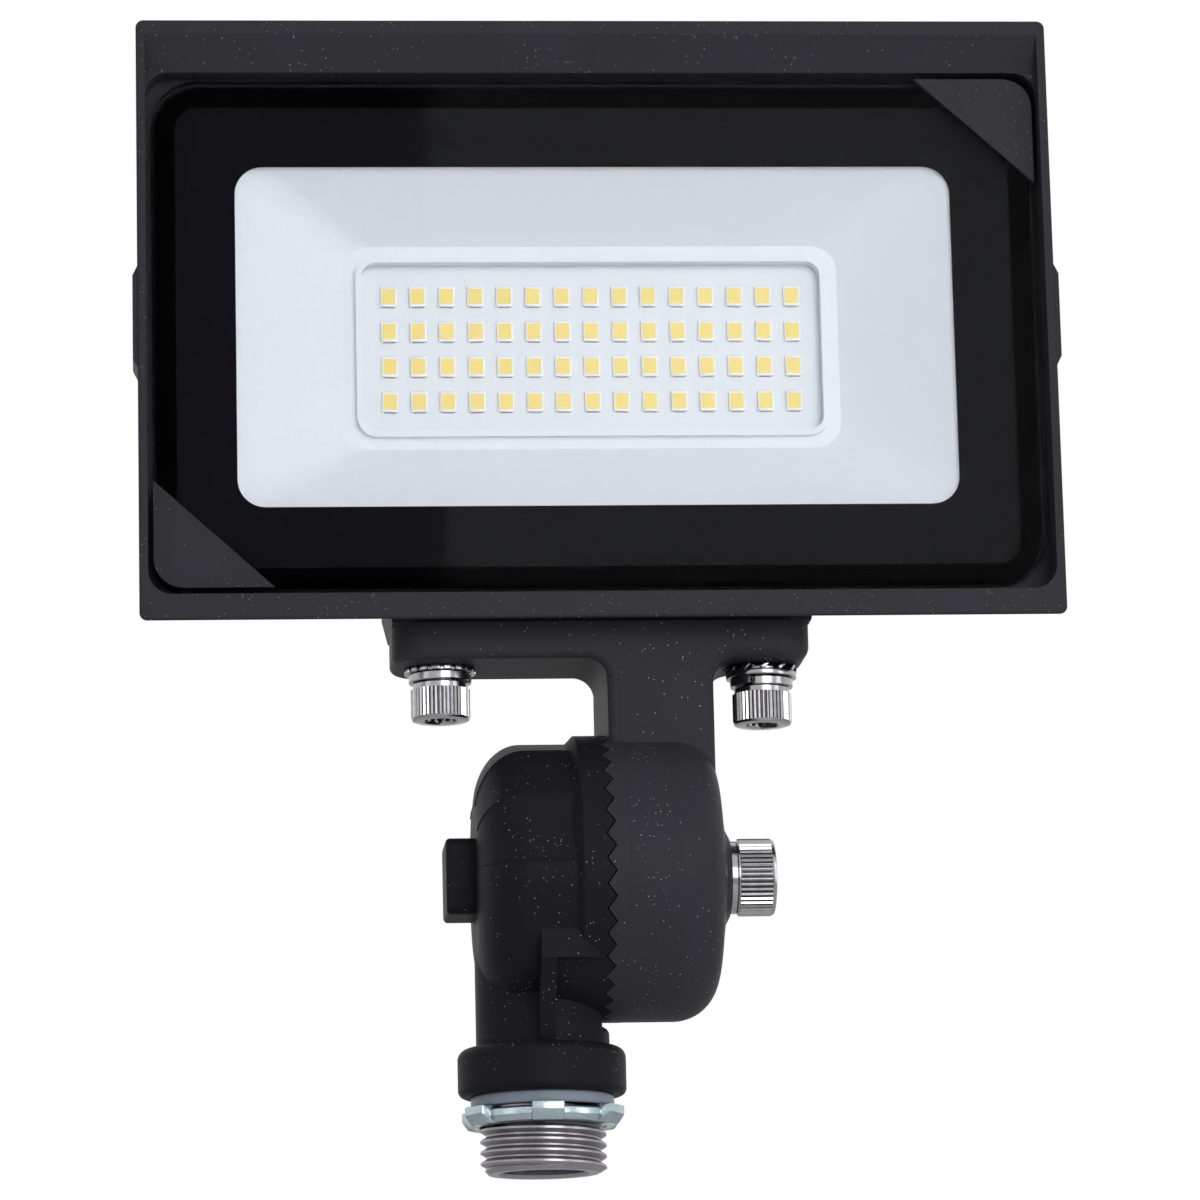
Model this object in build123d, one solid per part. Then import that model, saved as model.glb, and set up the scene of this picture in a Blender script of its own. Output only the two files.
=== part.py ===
from build123d import *
import os
from math import atan, cos, degrees, pi, radians, sqrt, tan

# LED floodlight on a knuckle that screws into a half-inch hub, in millimetres.
# +X is the lamp's right as seen from the front, +Y is behind it, +Z is up.
# The origin is on the nipple's axis, where the thread meets the flange.

# Threaded nipple, half-inch straight pipe thread
thread_diameter = 20.955
thread_pitch = 1.814
thread_depth = 1.0
thread_crest = 0.65
nipple_length = 12.8
nipple_bore = 14.5
nipple_end_chamfer = 0.7

# Flange, neck and rib of the knuckle base
flange_diameter = 28.0
flange_height = 8.0
flange_top_round = 1.8
flange_bottom_round = 1.2
neck_diameter = 22.2
neck_centre_x = 0.25
rib_width = 2.5
rib_reach = 20.1
rib_pad_height = 5.2
rib_pad_drop = 10.55
rib_pad_slope_width = 3.2
rib_pad_slope_drop = 2.0

# Knuckle: pivot, toothed faces and the two drums
pivot_height = 36.35
teeth_plane_x = 10.57
teeth_count = 36
teeth_depth = 1.65
teeth_crest_gap = 0.1
teeth_crest_flat = 0.12
teeth_root_land = 0.05
teeth_ring_sink = 0.5
teeth_inner_diameter = 39.0
collar_diameter = 48.0
collar_width = 3.75
collar_flank_run = 1.3
base_drum_diameter = 45.9
base_drum_length = 20.45
base_shoulder_length = 8.0
base_shoulder_drop = 11.0
base_facet_angle = 30.0
arm_drum_diameter = 47.75
arm_drum_length = 19.65
arm_drum_round = 7.5
arm_ring_width = 2.1
arm_drum_drop = 0.1
arm_face_dome = 1.2
arm_boss_diameter = 13.4
arm_boss_root_diameter = 17.2
arm_boss_height = 1.0
knuckle_cavity_diameter = 34.0
knuckle_floor = 3.8
centre_boss_diameter = 15.0
centre_boss_setback = 0.4
neck_notch_gap = 1.15
neck_notch_round = 1.2
nut_boss_size = 12.8
nut_boss_height = 4.95
nut_boss_round = 1.5

# Seal ring between the two knuckle halves
knuckle_seal_width = 1.4
knuckle_seal_wall = 0.3
knuckle_seal_seat = 0.6
knuckle_seal_gap = 0.15
knuckle_seal_side_gap = 0.075

# Pivot bolt, M8, with its spring washer and threaded insert
bolt_diameter = 8.0
bolt_length = 45.0
bolt_head_diameter = 13.0
bolt_head_height = 6.5
bolt_socket = 6.0
bolt_socket_depth = 4.0
bolt_head_chamfer = 0.7
bolt_hole_gap = 0.2
bolt_thread_gap = 0.05
pivot_washer_diameter = 12.2
pivot_washer_thickness = 1.1
washer_slit = 1.0
washer_bore_gap = 0.1
insert_diameter = 10.4
insert_length = 12.0
insert_seat_gap = 0.03
insert_end_wall = 2.2

# Gasket and locknut on the nipple
hub_gasket_diameter = 23.8
hub_gasket_thickness = 2.0
hub_gasket_gap = 0.1
locknut_body_diameter = 25.0
locknut_lug_diameter = 27.8
locknut_thickness = 3.2
locknut_lugs = 6
locknut_lug_width = 5.6
locknut_thread_gap = 0.06
locknut_turn = 30.0

# Arm: leg and top plate
arm_height = 42.05
plate_length = 70.2
plate_depth = 21.0
plate_thickness = 6.1
plate_corner = 6.0
leg_gap = 0.15
leg_width = 18.8
leg_draft = 0.9
arm_left_round = 1.3
arm_right_round = 2.4
leg_left_fillet = 3.6
leg_right_fillet = 4.3
leg_strip_step = 0.25
leg_strip_start = 16.0
leg_wall = 3.0
leg_channel_wall_y = 3.5
washer_seat_gap = 0.45

# Arm screws, M6, and their washers
arm_screw_diameter = 6.0
arm_screw_length = 16.0
arm_screw_spacing = 54.3
arm_screw_shift = 0.33
arm_screw_head_diameter = 9.95
arm_screw_head_height = 6.3
arm_screw_head_chamfer = 0.4
arm_screw_socket = 5.0
arm_screw_socket_depth = 3.0
arm_screw_hole_gap = 0.3
arm_screw_thread_gap = 0.05
arm_screw_hole_spare = 0.4
screw_tip_share = 0.1
spring_washer_diameter = 10.6
spring_washer_thickness = 1.6
toothed_washer_diameter = 12.1
flat_toothed_thickness = 1.0
twisted_toothed_thickness = 2.2
toothed_washer_teeth = 10
toothed_washer_notch = 1.3
toothed_washer_notch_width = 1.5
toothed_washer_turn = 18.0

# Front glass, its gasket and its corner clamps
head_centre_x = 11.05
rim_front_y = -18.8
rim_drop = 1.0
glass_width = 149.4
glass_height = 87.4
glass_corner = 8.0
glass_thickness = 3.0
glass_chamfer = 0.35
glass_setback = 3.4
glass_gap_side = 0.9
glass_gap_below = 1.55
glass_gap_above = 1.2
glass_ledge = 4.0
glass_gasket_thickness = 1.0
glass_gasket_inset = 0.5
clamp_width = 20.0
clamp_height = 18.2
clamp_thickness = 0.9
clamp_corner = 5.0
clamp_tongue_width = 6.0
clamp_tongue_sink = 2.0
clamp_gap = 0.1

# Housing
side_lip = 1.5
bottom_band = 4.35
top_slope = 5.95
top_slope_depth = 2.8
top_strip = 2.5
pocket_corner = 4.0
outer_corner = 1.3
rim_edge_round = 0.5
back_wall = 4.0
taper_bottom = 12.5
taper_top = 20.0
taper_side = 5.5
side_bump_height = 17.5
side_bump_proud = 0.8
side_bump_depth = 9.0
side_bump_slope = 1.6
fin_count = 17
fin_pitch = 8.2
fin_thickness = 2.0
fin_depth = 15.5
fin_end_round = 14.0
fin_end_inset = 5.0
foot_flare = 1.0
foot_flare_rise = 4.0
foot_height = 9.0
foot_setback = 0.8

# Light engine: reflector, board, LEDs and what is soldered to the board
window_width = 121.3
window_height = 58.7
window_lift = 0.5
reflector_overlap = 0.8
reflector_wall = 1.2
reflector_corner = 5.0
reflector_depth = 10.3
reflector_floor_width = 84.4
reflector_floor_height = 35.4
reflector_floor_corner = 4.5
reflector_opening_width = 78.4
reflector_opening_height = 29.4
reflector_opening_corner = 2.5
reflector_lip_width = 1.0
reflector_lip_height = 1.3
reflector_edge_gap = 0.5
reflector_glass_gap = 0.2
reflector_board_gap = 0.2
reflector_post_diameter = 6.0
reflector_post_inset = 2.2
reflector_screw_diameter = 2.5
reflector_screw_head = 4.8
reflector_screw_head_height = 1.3
reflector_screw_bite = 2.8
reflector_screw_slot_width = 0.6
reflector_screw_slot_length = 3.2
board_width = 120.0
board_height = 72.0
board_thickness = 1.6
board_corner = 2.0
thermal_pad_thickness = 0.5
thermal_pad_inset = 1.0
led_columns = 15
led_rows = 4
led_pitch_x = 4.925
led_pitch_z = 6.141
led_width = 2.8
led_height = 3.5
led_thickness = 0.7
board_screw_diameter = 3.0
board_screw_length = 5.0
board_screw_head = 5.5
board_screw_head_height = 1.9
board_screw_inset = 4.5
small_screw_gap = 0.1
pan_head_round_share = 0.6
screw_recess_reach_share = 0.28
screw_recess_width_share = 0.1
screw_recess_floor_share = 0.45
chip_width = 7.0
chip_height = 6.0
chip_thickness = 1.75
chip_pitch = 12.0
chip_edge_inset = 2.5
rectifier_size = 7.0
rectifier_thickness = 2.6
surge_disc_diameter = 7.0
surge_disc_thickness = 3.6
fuse_length = 8.0
fuse_section = 3.0
connector_width = 14.0
connector_height = 5.5
connector_thickness = 6.5
connector_inset = 0.8
connector_shift = 2.4
connector_entry = 2.4
connector_entry_depth = 3.85
connector_pitch = 4.1
earth_screw_diameter = 4.0
earth_screw_head = 8.0
earth_screw_head_height = 2.6
earth_screw_length = 5.5
earth_screw_drop = 20.0

# Wire way through the foot, its grommet and the seal round it
wire_hole_diameter = 6.0
wire_hole_gap = 0.4
grommet_bore = 3.8
grommet_flange_diameter = 10.0
grommet_flange_thickness = 1.1
grommet_gap = 0.05
arm_seal_thickness = 1.2
arm_seal_width = 1.4
arm_seal_margin = 0.4
arm_seal_corner = 2.0
arm_seal_gap = 0.1

# Breather plug on the back
breather_diameter = 11.0
breather_height = 4.5
breather_shank_diameter = 6.0
breather_shank_length = 5.2
breather_slots = 6
breather_slot_width = 1.6
breather_slot_radius = 4.0
breather_slot_low = 1.1
breather_slot_high = 2.9
breather_round = 0.9
breather_pad_diameter = 13.0
breather_pad_height = 1.0
breather_clearance = 1.5
breather_drop = 20.0
breather_seal_thickness = 1.2
breather_gap = 0.1

# A cut or a joined solid runs this far past the face that it meets
reach = 1.0

# Corners of a plate take up at most this share of its shorter side
largest_corner_share = 0.499

# Places that follow from the sizes above
nipple_radius = thread_diameter / 2
base_teeth_root_x = teeth_plane_x - teeth_depth / 2
arm_teeth_root_x = teeth_plane_x + teeth_depth / 2
teeth_height = (teeth_depth - teeth_crest_gap) / 2
base_end_x = base_teeth_root_x - base_drum_length
base_cavity_x = base_end_x + knuckle_floor
arm_face_x = arm_teeth_root_x + arm_drum_length - arm_face_dome
arm_cavity_x = arm_face_x - knuckle_floor
arm_boss_face_x = arm_face_x + arm_face_dome + arm_boss_height
bolt_seat_x = arm_boss_face_x + pivot_washer_thickness
nut_boss_face_x = base_end_x - nut_boss_height
plate_top_z = pivot_height + arm_height
plate_under_z = plate_top_z - plate_thickness
leg_left_x = teeth_plane_x + leg_gap
leg_right_x = leg_left_x + leg_width
leg_centre_x = (leg_left_x + leg_right_x) / 2
channel_width = leg_width - 2 * leg_wall
channel_depth = plate_depth - 2 * leg_channel_wall_y

glass_front_y = rim_front_y + glass_setback
glass_back_y = glass_front_y + glass_thickness
ledge_y = glass_back_y + glass_gasket_thickness
pocket_width = glass_width + 2 * glass_gap_side
pocket_height = glass_height + glass_gap_below + glass_gap_above
housing_width = pocket_width + 2 * side_lip
housing_height = bottom_band + pocket_height + top_slope + top_strip
housing_bottom_z = plate_top_z - rim_drop
housing_top_z = housing_bottom_z + housing_height
pocket_bottom_z = housing_bottom_z + bottom_band
pocket_top_z = pocket_bottom_z + pocket_height
pocket_centre_z = (pocket_bottom_z + pocket_top_z) / 2
glass_bottom_z = pocket_bottom_z + glass_gap_below
glass_centre_z = glass_bottom_z + glass_height / 2
light_centre_z = glass_centre_z + window_lift
cavity_width = glass_width - 2 * glass_ledge
cavity_height = glass_height - 2 * glass_ledge
cavity_bottom_z = glass_centre_z - cavity_height / 2

reflector_front_y = glass_back_y + reflector_glass_gap
reflector_floor_y = reflector_front_y + reflector_depth
board_front_y = reflector_floor_y + reflector_wall + reflector_board_gap
board_back_y = board_front_y + board_thickness
wall_inner_y = board_back_y + thermal_pad_thickness
wall_outer_y = wall_inner_y + back_wall
fin_back_y = wall_outer_y + fin_depth
cavity_corner = glass_corner / 2
wire_hole_y = wall_inner_y - grommet_flange_diameter / 2 - wire_hole_gap


def rounded_slab(width, height, corner, y_front, y_back, centre_x, centre_z):
    """A plate with rounded corners that faces the front, between two depths."""
    radius = min(corner, largest_corner_share * width, largest_corner_share * height)
    face = Plane.XZ * RectangleRounded(width, height, radius)
    plate = extrude(face, amount=y_back - y_front, dir=(0, 1, 0))
    return Pos(centre_x, y_front, centre_z) * plate


def block(x_low, x_high, y_low, y_high, z_low, z_high):
    """A box between two corners."""
    size = Box(x_high - x_low, y_high - y_low, z_high - z_low)
    return Pos((x_low + x_high) / 2, (y_low + y_high) / 2, (z_low + z_high) / 2) * size


def rod_x(diameter, x_low, x_high, y=0, z=pivot_height):
    """A round bar along X."""
    bar = Rot(0, 90, 0) * Cylinder(diameter / 2, x_high - x_low)
    return Pos((x_low + x_high) / 2, y, z) * bar


def rod_y(diameter, y_low, y_high, x, z):
    """A round bar along Y."""
    bar = Rot(90, 0, 0) * Cylinder(diameter / 2, y_high - y_low)
    return Pos(x, (y_low + y_high) / 2, z) * bar


def rod_z(diameter, z_low, z_high, x=0, y=0):
    """A round bar along Z."""
    return Pos(x, y, (z_low + z_high) / 2) * Cylinder(diameter / 2, z_high - z_low)


def turned_on_pivot(lines):
    """The solid that a profile of (x, radius) lines sweeps round the pivot's axis."""
    profile = make_face(lines)
    turned = revolve(profile, Axis.X, 360)
    return Pos(0, 0, pivot_height) * (Rot(90, 0, 0) * turned)


def tooth_gaps(root_x, crest_x, turn):
    """The V-shaped gaps between the teeth of one knuckle half, the first one at an angle."""
    step = 360 / teeth_count
    outwards = 1 if crest_x > root_x else -1
    apex_x = root_x + outwards * teeth_root_land
    mouth_x = crest_x + outwards * reach
    spread = (mouth_x - apex_x) / (crest_x - apex_x)
    sections = []
    for radius in (teeth_inner_diameter / 2 - reach, collar_diameter / 2 + reach):
        half_mouth = pi * radius / teeth_count - teeth_crest_flat / 2
        half_width = half_mouth * spread
        corners = [
            Vector(apex_x, 0, radius),
            Vector(mouth_x, half_width, radius),
            Vector(mouth_x, -half_width, radius),
        ]
        sections.append(Polyline(*corners, close=True).wire())
    gap = Solid.make_loft(sections, ruled=True)
    return [Pos(0, 0, pivot_height) * (Rot(turn + i * step, 0, 0) * gap) for i in range(teeth_count)]


def with_teeth(body, root_x, crest_x, turn=0.0):
    """A knuckle half with a raised ring on its flat side, cut into radial teeth."""
    inside = (root_x - crest_x) / teeth_height * teeth_ring_sink
    low, high = sorted((root_x + inside, crest_x))
    ring = rod_x(collar_diameter, low, high) - rod_x(teeth_inner_diameter, low - reach, high + reach)
    return body + ring - tooth_gaps(root_x, crest_x, turn)


def nipple():
    """Threaded tube with one ring-shaped groove per thread and a chamfered end."""
    tube = rod_z(thread_diameter, -nipple_length, reach)
    tube = chamfer(tube.edges().group_by(Axis.Z)[0], nipple_end_chamfer)
    flank = (thread_pitch - thread_crest) / 2
    first = -thread_pitch
    while first - flank > -nipple_length + nipple_end_chamfer:
        points = [
            (nipple_radius + flank, first + flank * (1 + flank / thread_depth)),
            (nipple_radius - thread_depth, first),
            (nipple_radius + flank, first - flank * (1 + flank / thread_depth)),
        ]
        groove = make_face(Plane.XZ * Polyline(*points, close=True))
        tube -= revolve(groove, Axis.Z, 360)
        first -= thread_pitch
    return tube


def flange():
    """Round flange above the thread."""
    disc = rod_z(flange_diameter, 0, flange_height)
    disc = fillet(disc.edges().group_by(Axis.Z)[-1], flange_top_round)
    return fillet(disc.edges().group_by(Axis.Z)[0], flange_bottom_round)


def drum_profile(squeeze):
    """Outline of the base drum as x and radius, with its radii squeezed for a flat facet."""
    outer = base_drum_diameter / 2
    flat = (outer - base_shoulder_drop) * squeeze
    shoulder_x = base_end_x + base_shoulder_length
    shoulder = EllipticalCenterArc(
        (shoulder_x, flat),
        base_shoulder_length,
        base_shoulder_drop * squeeze,
        start_angle=90,
        arc_size=90,
    )
    return shoulder, shoulder_x, outer * squeeze, flat


def base_drum():
    """Left drum of the knuckle: round below, flat facets above, with an elliptic shoulder."""
    shoulder, shoulder_x, top, flat = drum_profile(1)
    round_drum = turned_on_pivot(
        [
            shoulder,
            Polyline(
                (base_end_x, flat),
                (base_end_x, 0),
                (base_teeth_root_x, 0),
                (base_teeth_root_x, top),
                (shoulder_x, top),
            ),
        ]
    )
    facets = int(round(180 / base_facet_angle))
    shoulder, shoulder_x, top, flat = drum_profile(cos(pi / facets / 2))
    outline = make_face(
        [
            shoulder,
            Polyline(
                (base_end_x, flat),
                (base_end_x, -top),
                (base_teeth_root_x, -top),
                (base_teeth_root_x, top),
                (shoulder_x, top),
            ),
        ]
    )
    slab = extrude(Plane.XZ * outline, amount=base_drum_diameter, both=True)
    wide = base_drum_diameter
    faceted = block(base_end_x - reach, base_teeth_root_x + reach, -wide, wide, 0, wide)
    for i in range(facets):
        faceted &= Rot(base_facet_angle * (i + 0.5) - 90, 0, 0) * slab
    lower = block(
        base_end_x - reach, base_teeth_root_x + reach, -wide, wide, pivot_height - wide, pivot_height
    )
    return Pos(0, 0, pivot_height) * faceted + (round_drum & lower)


def collar():
    """Raised ring behind the teeth of the base, with a sloped left flank."""
    outer = collar_diameter / 2
    inner = base_drum_diameter / 2 - reach
    left = base_teeth_root_x - collar_width
    points = [
        (left - collar_flank_run * (1 + reach / (outer - inner)), inner),
        (left, outer),
        (base_teeth_root_x, outer),
        (base_teeth_root_x, inner),
    ]
    return turned_on_pivot([Polyline(*points, close=True)])


def skirt():
    """Lower part of the drum, as wide as the collar, between the rib and the teeth."""
    top = pivot_height - rib_pad_drop - rib_pad_height
    left = neck_centre_x - rib_width / 2
    barrel = rod_x(collar_diameter, left, base_teeth_root_x)
    return barrel & block(left, base_teeth_root_x, -collar_diameter, collar_diameter, 0, top)


def nut_boss():
    """Square boss on the left end, over the threaded insert."""
    half = nut_boss_size / 2
    boss = block(
        nut_boss_face_x, base_end_x + knuckle_floor / 2, -half, half, pivot_height - half, pivot_height + half
    )
    boss = fillet(boss.edges().filter_by(Axis.X), nut_boss_round)
    return fillet(boss.faces().sort_by(Axis.X)[0].edges(), nut_boss_round / 2)


def centre_boss(x_low, x_high):
    """Post round the pivot bolt inside a knuckle half."""
    return rod_x(centre_boss_diameter, x_low, x_high)


def knuckle_base():
    """Left half of the knuckle with neck, flange and nipple, cast in one."""
    drop = pivot_height - collar_diameter / 2 - neck_notch_gap
    tower = rod_z(neck_diameter, flange_height / 2, pivot_height, neck_centre_x)
    tower -= block(
        base_teeth_root_x, collar_diameter, -neck_diameter, neck_diameter, 0, pivot_height + reach
    )
    shoulder = rod_z(neck_diameter, flange_height / 2, drop, neck_centre_x)
    shoulder = fillet(shoulder.edges().group_by(Axis.Z)[-1], neck_notch_round)
    rib_left = neck_centre_x - rib_width / 2
    pad_top = pivot_height - rib_pad_drop
    rib = block(rib_left, rib_left + rib_width, -rib_reach, 0, flange_height - reach, pad_top)
    rib -= block(
        rib_left - reach,
        rib_left + rib_width + reach,
        -rib_reach - reach,
        -flange_diameter / 2 + flange_top_round,
        0,
        flange_height,
    )
    foot_slope = Polyline(
        (-rib_reach - reach, flange_height - reach),
        (-flange_diameter / 2 + flange_top_round, flange_height),
        (-rib_reach, pad_top - rib_pad_height),
        (-rib_reach - reach, pad_top - rib_pad_height),
        close=True,
    )
    wedge = extrude(Plane.YZ * make_face(foot_slope), amount=rib_width + 2 * reach)
    rib -= Pos(rib_left - reach, 0, 0) * wedge
    pad_outline = Polyline(
        (rib_left, 0),
        (rib_left, -rib_reach),
        (base_teeth_root_x - rib_pad_slope_width, -rib_reach),
        (base_teeth_root_x, -rib_reach + rib_pad_slope_drop),
        (base_teeth_root_x, 0),
        close=True,
    )
    pad = Pos(0, 0, pad_top - rib_pad_height) * extrude(make_face(pad_outline), amount=rib_pad_height)

    body = base_drum() + collar() + skirt() + nut_boss() + tower + shoulder + rib + pad + flange() + nipple()
    cavity = rod_x(knuckle_cavity_diameter, base_cavity_x, base_teeth_root_x + reach)
    cavity -= centre_boss(base_cavity_x - reach, base_teeth_root_x - centre_boss_setback)
    body -= cavity
    bore_top = pivot_height - centre_boss_diameter / 2 - reach
    body -= rod_z(nipple_bore, -nipple_length - reach, bore_top)
    body -= rod_x(insert_diameter + 2 * insert_seat_gap, insert_x(), insert_x() + insert_length)
    body -= rod_x(bolt_diameter + 2 * bolt_hole_gap, insert_x(), base_teeth_root_x + reach)
    body -= seal_ring(base_teeth_root_x - knuckle_seal_seat, base_teeth_root_x + reach, knuckle_seal_side_gap)
    return with_teeth(body, base_teeth_root_x, teeth_plane_x - teeth_crest_gap / 2)


def insert_x():
    """Left end of the threaded insert."""
    return nut_boss_face_x + insert_end_wall


def seal_ring(x_low, x_high, gap=0.0):
    """Flat ring just outside the knuckle's hollow, grown by a gap on both walls."""
    inner = knuckle_cavity_diameter + 2 * knuckle_seal_wall
    outer = inner + 2 * knuckle_seal_width
    hole = rod_x(inner - 2 * gap, x_low - reach, x_high + reach)
    return rod_x(outer + 2 * gap, x_low, x_high) - hole


def knuckle_seal():
    """Silicone ring that keeps rain out of the knuckle, seated in the base."""
    return seal_ring(base_teeth_root_x - knuckle_seal_seat, arm_teeth_root_x - knuckle_seal_gap)


def pivot_insert():
    """Threaded steel bush that takes the pivot bolt."""
    bush = rod_x(insert_diameter, insert_x(), insert_x() + insert_length)
    bore = bolt_diameter + 2 * bolt_thread_gap
    return bush - rod_x(bore, insert_x() - reach, insert_x() + insert_length + reach)


def split_washer(outer, bore, thickness, slit):
    """Spring washer that lies flat on XY, cut through on one side."""
    ring = Cylinder(outer / 2, thickness) - Cylinder(bore / 2, thickness + reach)
    cut = Box(outer, slit, thickness + reach)
    return ring - Pos(outer / 2, 0, 0) * cut


def pivot_washer():
    """Spring washer under the pivot bolt's head."""
    bore = bolt_diameter + 2 * washer_bore_gap
    ring = split_washer(pivot_washer_diameter, bore, pivot_washer_thickness, washer_slit)
    return Pos(arm_boss_face_x + pivot_washer_thickness / 2, 0, pivot_height) * (Rot(0, 90, 0) * ring)


def socket_screw(diameter, length, head, head_height, socket, socket_depth, edge):
    """Socket head screw that points up, with the underside of its head at the origin."""
    cap = Pos(0, 0, -head_height / 2) * Cylinder(head / 2, head_height)
    cap = chamfer(cap.edges().group_by(Axis.Z)[0], edge)
    key = RegularPolygon(socket / 2, 6, major_radius=False)
    cap -= Pos(0, 0, -head_height) * extrude(key, amount=socket_depth)
    shank = Pos(0, 0, length / 2) * Cylinder(diameter / 2, length)
    shank = chamfer(shank.edges().group_by(Axis.Z)[-1], diameter * screw_tip_share)
    return cap + shank


def pivot_bolt():
    """M8 socket head bolt that clamps the knuckle, screwed in from the right."""
    screw = socket_screw(
        bolt_diameter,
        bolt_length,
        bolt_head_diameter,
        bolt_head_height,
        bolt_socket,
        bolt_socket_depth,
        bolt_head_chamfer,
    )
    return Pos(bolt_seat_x, 0, pivot_height) * (Rot(0, -90, 0) * screw)


def hub_gasket():
    """Rubber ring between the flange and the locknut."""
    bore = thread_diameter + 2 * hub_gasket_gap
    ring = rod_z(hub_gasket_diameter, -hub_gasket_thickness, 0)
    return ring - rod_z(bore, -hub_gasket_thickness - reach, reach)


def locknut():
    """Zinc plated ring nut with lugs."""
    top = -hub_gasket_thickness
    nut = rod_z(locknut_body_diameter, top - locknut_thickness, top)
    outline = rod_z(locknut_lug_diameter, top - locknut_thickness, top)
    bar = block(
        0, locknut_lug_diameter, -locknut_lug_width / 2, locknut_lug_width / 2, top - locknut_thickness, top
    )
    for i in range(locknut_lugs):
        nut += outline & (Rot(0, 0, locknut_turn + 360 * i / locknut_lugs) * bar)
    bore = thread_diameter + 2 * locknut_thread_gap
    return nut - rod_z(bore, top - locknut_thickness - reach, top + reach)


def arm_drum():
    """Right drum of the knuckle, rounded at its outer end and almost level with its ring at the bottom."""
    outer = arm_drum_diameter / 2
    root = arm_teeth_root_x
    round_x = arm_face_x - arm_drum_round
    round_r = outer - arm_drum_round
    bend = arm_drum_round / sqrt(2)
    dome_x = arm_face_x + arm_face_dome
    outline = [
        Polyline((dome_x, 0), (root, 0), (root, outer), (round_x, outer)),
        ThreePointArc((round_x, outer), (round_x + bend, round_r + bend), (arm_face_x, round_r)),
        Polyline((arm_face_x, round_r), (dome_x, arm_boss_root_diameter / 2), (dome_x, 0)),
    ]
    drum = Pos(0, 0, -arm_drum_drop) * turned_on_pivot(outline)
    ring = rod_x(collar_diameter, root, root + arm_ring_width)
    boss = [
        Polyline(
            (dome_x - reach, 0),
            (dome_x - reach, arm_boss_root_diameter / 2),
            (dome_x, arm_boss_root_diameter / 2),
            (arm_boss_face_x, arm_boss_diameter / 2),
            (arm_boss_face_x, 0),
            close=True,
        )
    ]
    return drum + ring + turned_on_pivot(boss)


def leg_flare(x, radius, side, half_depth):
    """Hollow fillet between one side of the leg and the plate's underside."""
    bend = radius * (1 - 1 / sqrt(2))
    outline = [
        Polyline(
            (x, plate_under_z - radius),
            (x - side * reach, plate_under_z - radius),
            (x - side * reach, plate_under_z),
        ),
        Line((x - side * reach, plate_under_z), (x + side * radius, plate_under_z)),
        ThreePointArc(
            (x + side * radius, plate_under_z),
            (x + side * bend, plate_under_z - bend),
            (x, plate_under_z - radius),
        ),
    ]
    return extrude(Plane.XZ * make_face(outline), amount=half_depth, both=True)


def drafted_bar(half, x_right, z_low, z_high):
    """Upright bar whose left side leans right towards the front."""
    slope = leg_draft / plate_depth
    outline = Polyline(
        (leg_left_x + slope * (plate_depth / 2 - half), half),
        (x_right, half),
        (x_right, -half),
        (leg_left_x + slope * (plate_depth / 2 + half), -half),
        close=True,
    )
    return Pos(0, 0, z_low) * extrude(make_face(outline), amount=z_high - z_low)


def plate_and_leg():
    """Top plate with the leg that widens into it, still with sharp edges."""
    half = plate_depth / 2
    plate = Pos(head_centre_x, 0, plate_under_z) * extrude(
        RectangleRounded(plate_length, plate_depth, plate_corner), amount=plate_thickness
    )
    column = drafted_bar(half, leg_right_x, pivot_height, plate_under_z + reach)
    lean = Rot(0, 0, degrees(atan(leg_draft / plate_depth)))
    flare = Pos(leg_left_x, half, 0) * lean * Pos(-leg_left_x, -half, 0)
    flare = flare * leg_flare(leg_left_x, leg_left_fillet, -1, half + reach)
    flare &= block(leg_left_x - plate_depth, leg_right_x, -half, half, pivot_height, plate_top_z)
    return plate + column + flare + leg_flare(leg_right_x, leg_right_fillet, 1, half)


def is_outer_low_edge(edge):
    """Whether an edge runs along the front, back or ends of the plate's underside or the leg."""
    box = edge.bounding_box()
    near = reach / 10
    half = plate_depth / 2 - near
    below = pivot_height + near < box.max.Z < plate_under_z + near
    across = box.min.Y < -half and box.max.Y > half
    return below and not across


def rounded_half(body, side, radius):
    """Left or right half of plate and leg, with its outer lower edges rounded."""
    low, high = sorted((leg_centre_x, leg_centre_x + side * plate_length))
    half = body & block(low, high, -plate_depth, plate_depth, 0, plate_top_z + reach)
    return fillet(half.edges().filter_by(is_outer_low_edge), radius)


def arm():
    """Plate, leg and right half of the knuckle, cast in one and hollow for the leads."""
    sharp = plate_and_leg()
    body = rounded_half(sharp, -1, arm_left_round) + rounded_half(sharp, 1, arm_right_round)
    strip = drafted_bar(
        plate_depth / 2 + leg_strip_step,
        arm_teeth_root_x + arm_ring_width,
        pivot_height + leg_strip_start,
        plate_under_z - leg_left_fillet,
    )
    strip = fillet(strip.edges().filter_by(Axis.Z).sort_by(Axis.X)[:2], arm_left_round)
    body += strip
    body -= rod_x(collar_diameter, leg_left_x - reach, arm_teeth_root_x)
    body += arm_drum()
    cavity = rod_x(knuckle_cavity_diameter, arm_teeth_root_x - reach, arm_cavity_x)
    cavity -= centre_boss(arm_teeth_root_x + centre_boss_setback, arm_cavity_x + reach)
    body -= cavity
    body -= block(
        leg_centre_x - channel_width / 2,
        leg_centre_x + channel_width / 2,
        -channel_depth / 2,
        channel_depth / 2,
        pivot_height + centre_boss_diameter / 2 + reach,
        plate_top_z + reach,
    )
    body -= rod_x(bolt_diameter + 2 * bolt_hole_gap, arm_teeth_root_x - reach, arm_boss_face_x + reach)
    for x in arm_screw_places():
        hole = arm_screw_diameter + 2 * arm_screw_hole_gap
        body -= rod_z(hole, plate_under_z - reach, plate_top_z + reach, x)
        seat = toothed_washer_diameter + 2 * washer_seat_gap
        body -= rod_z(seat, plate_under_z - leg_right_fillet, plate_under_z, x)
    half_step = 180 / teeth_count
    return with_teeth(body, arm_teeth_root_x, teeth_plane_x + teeth_crest_gap / 2, half_step)


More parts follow.
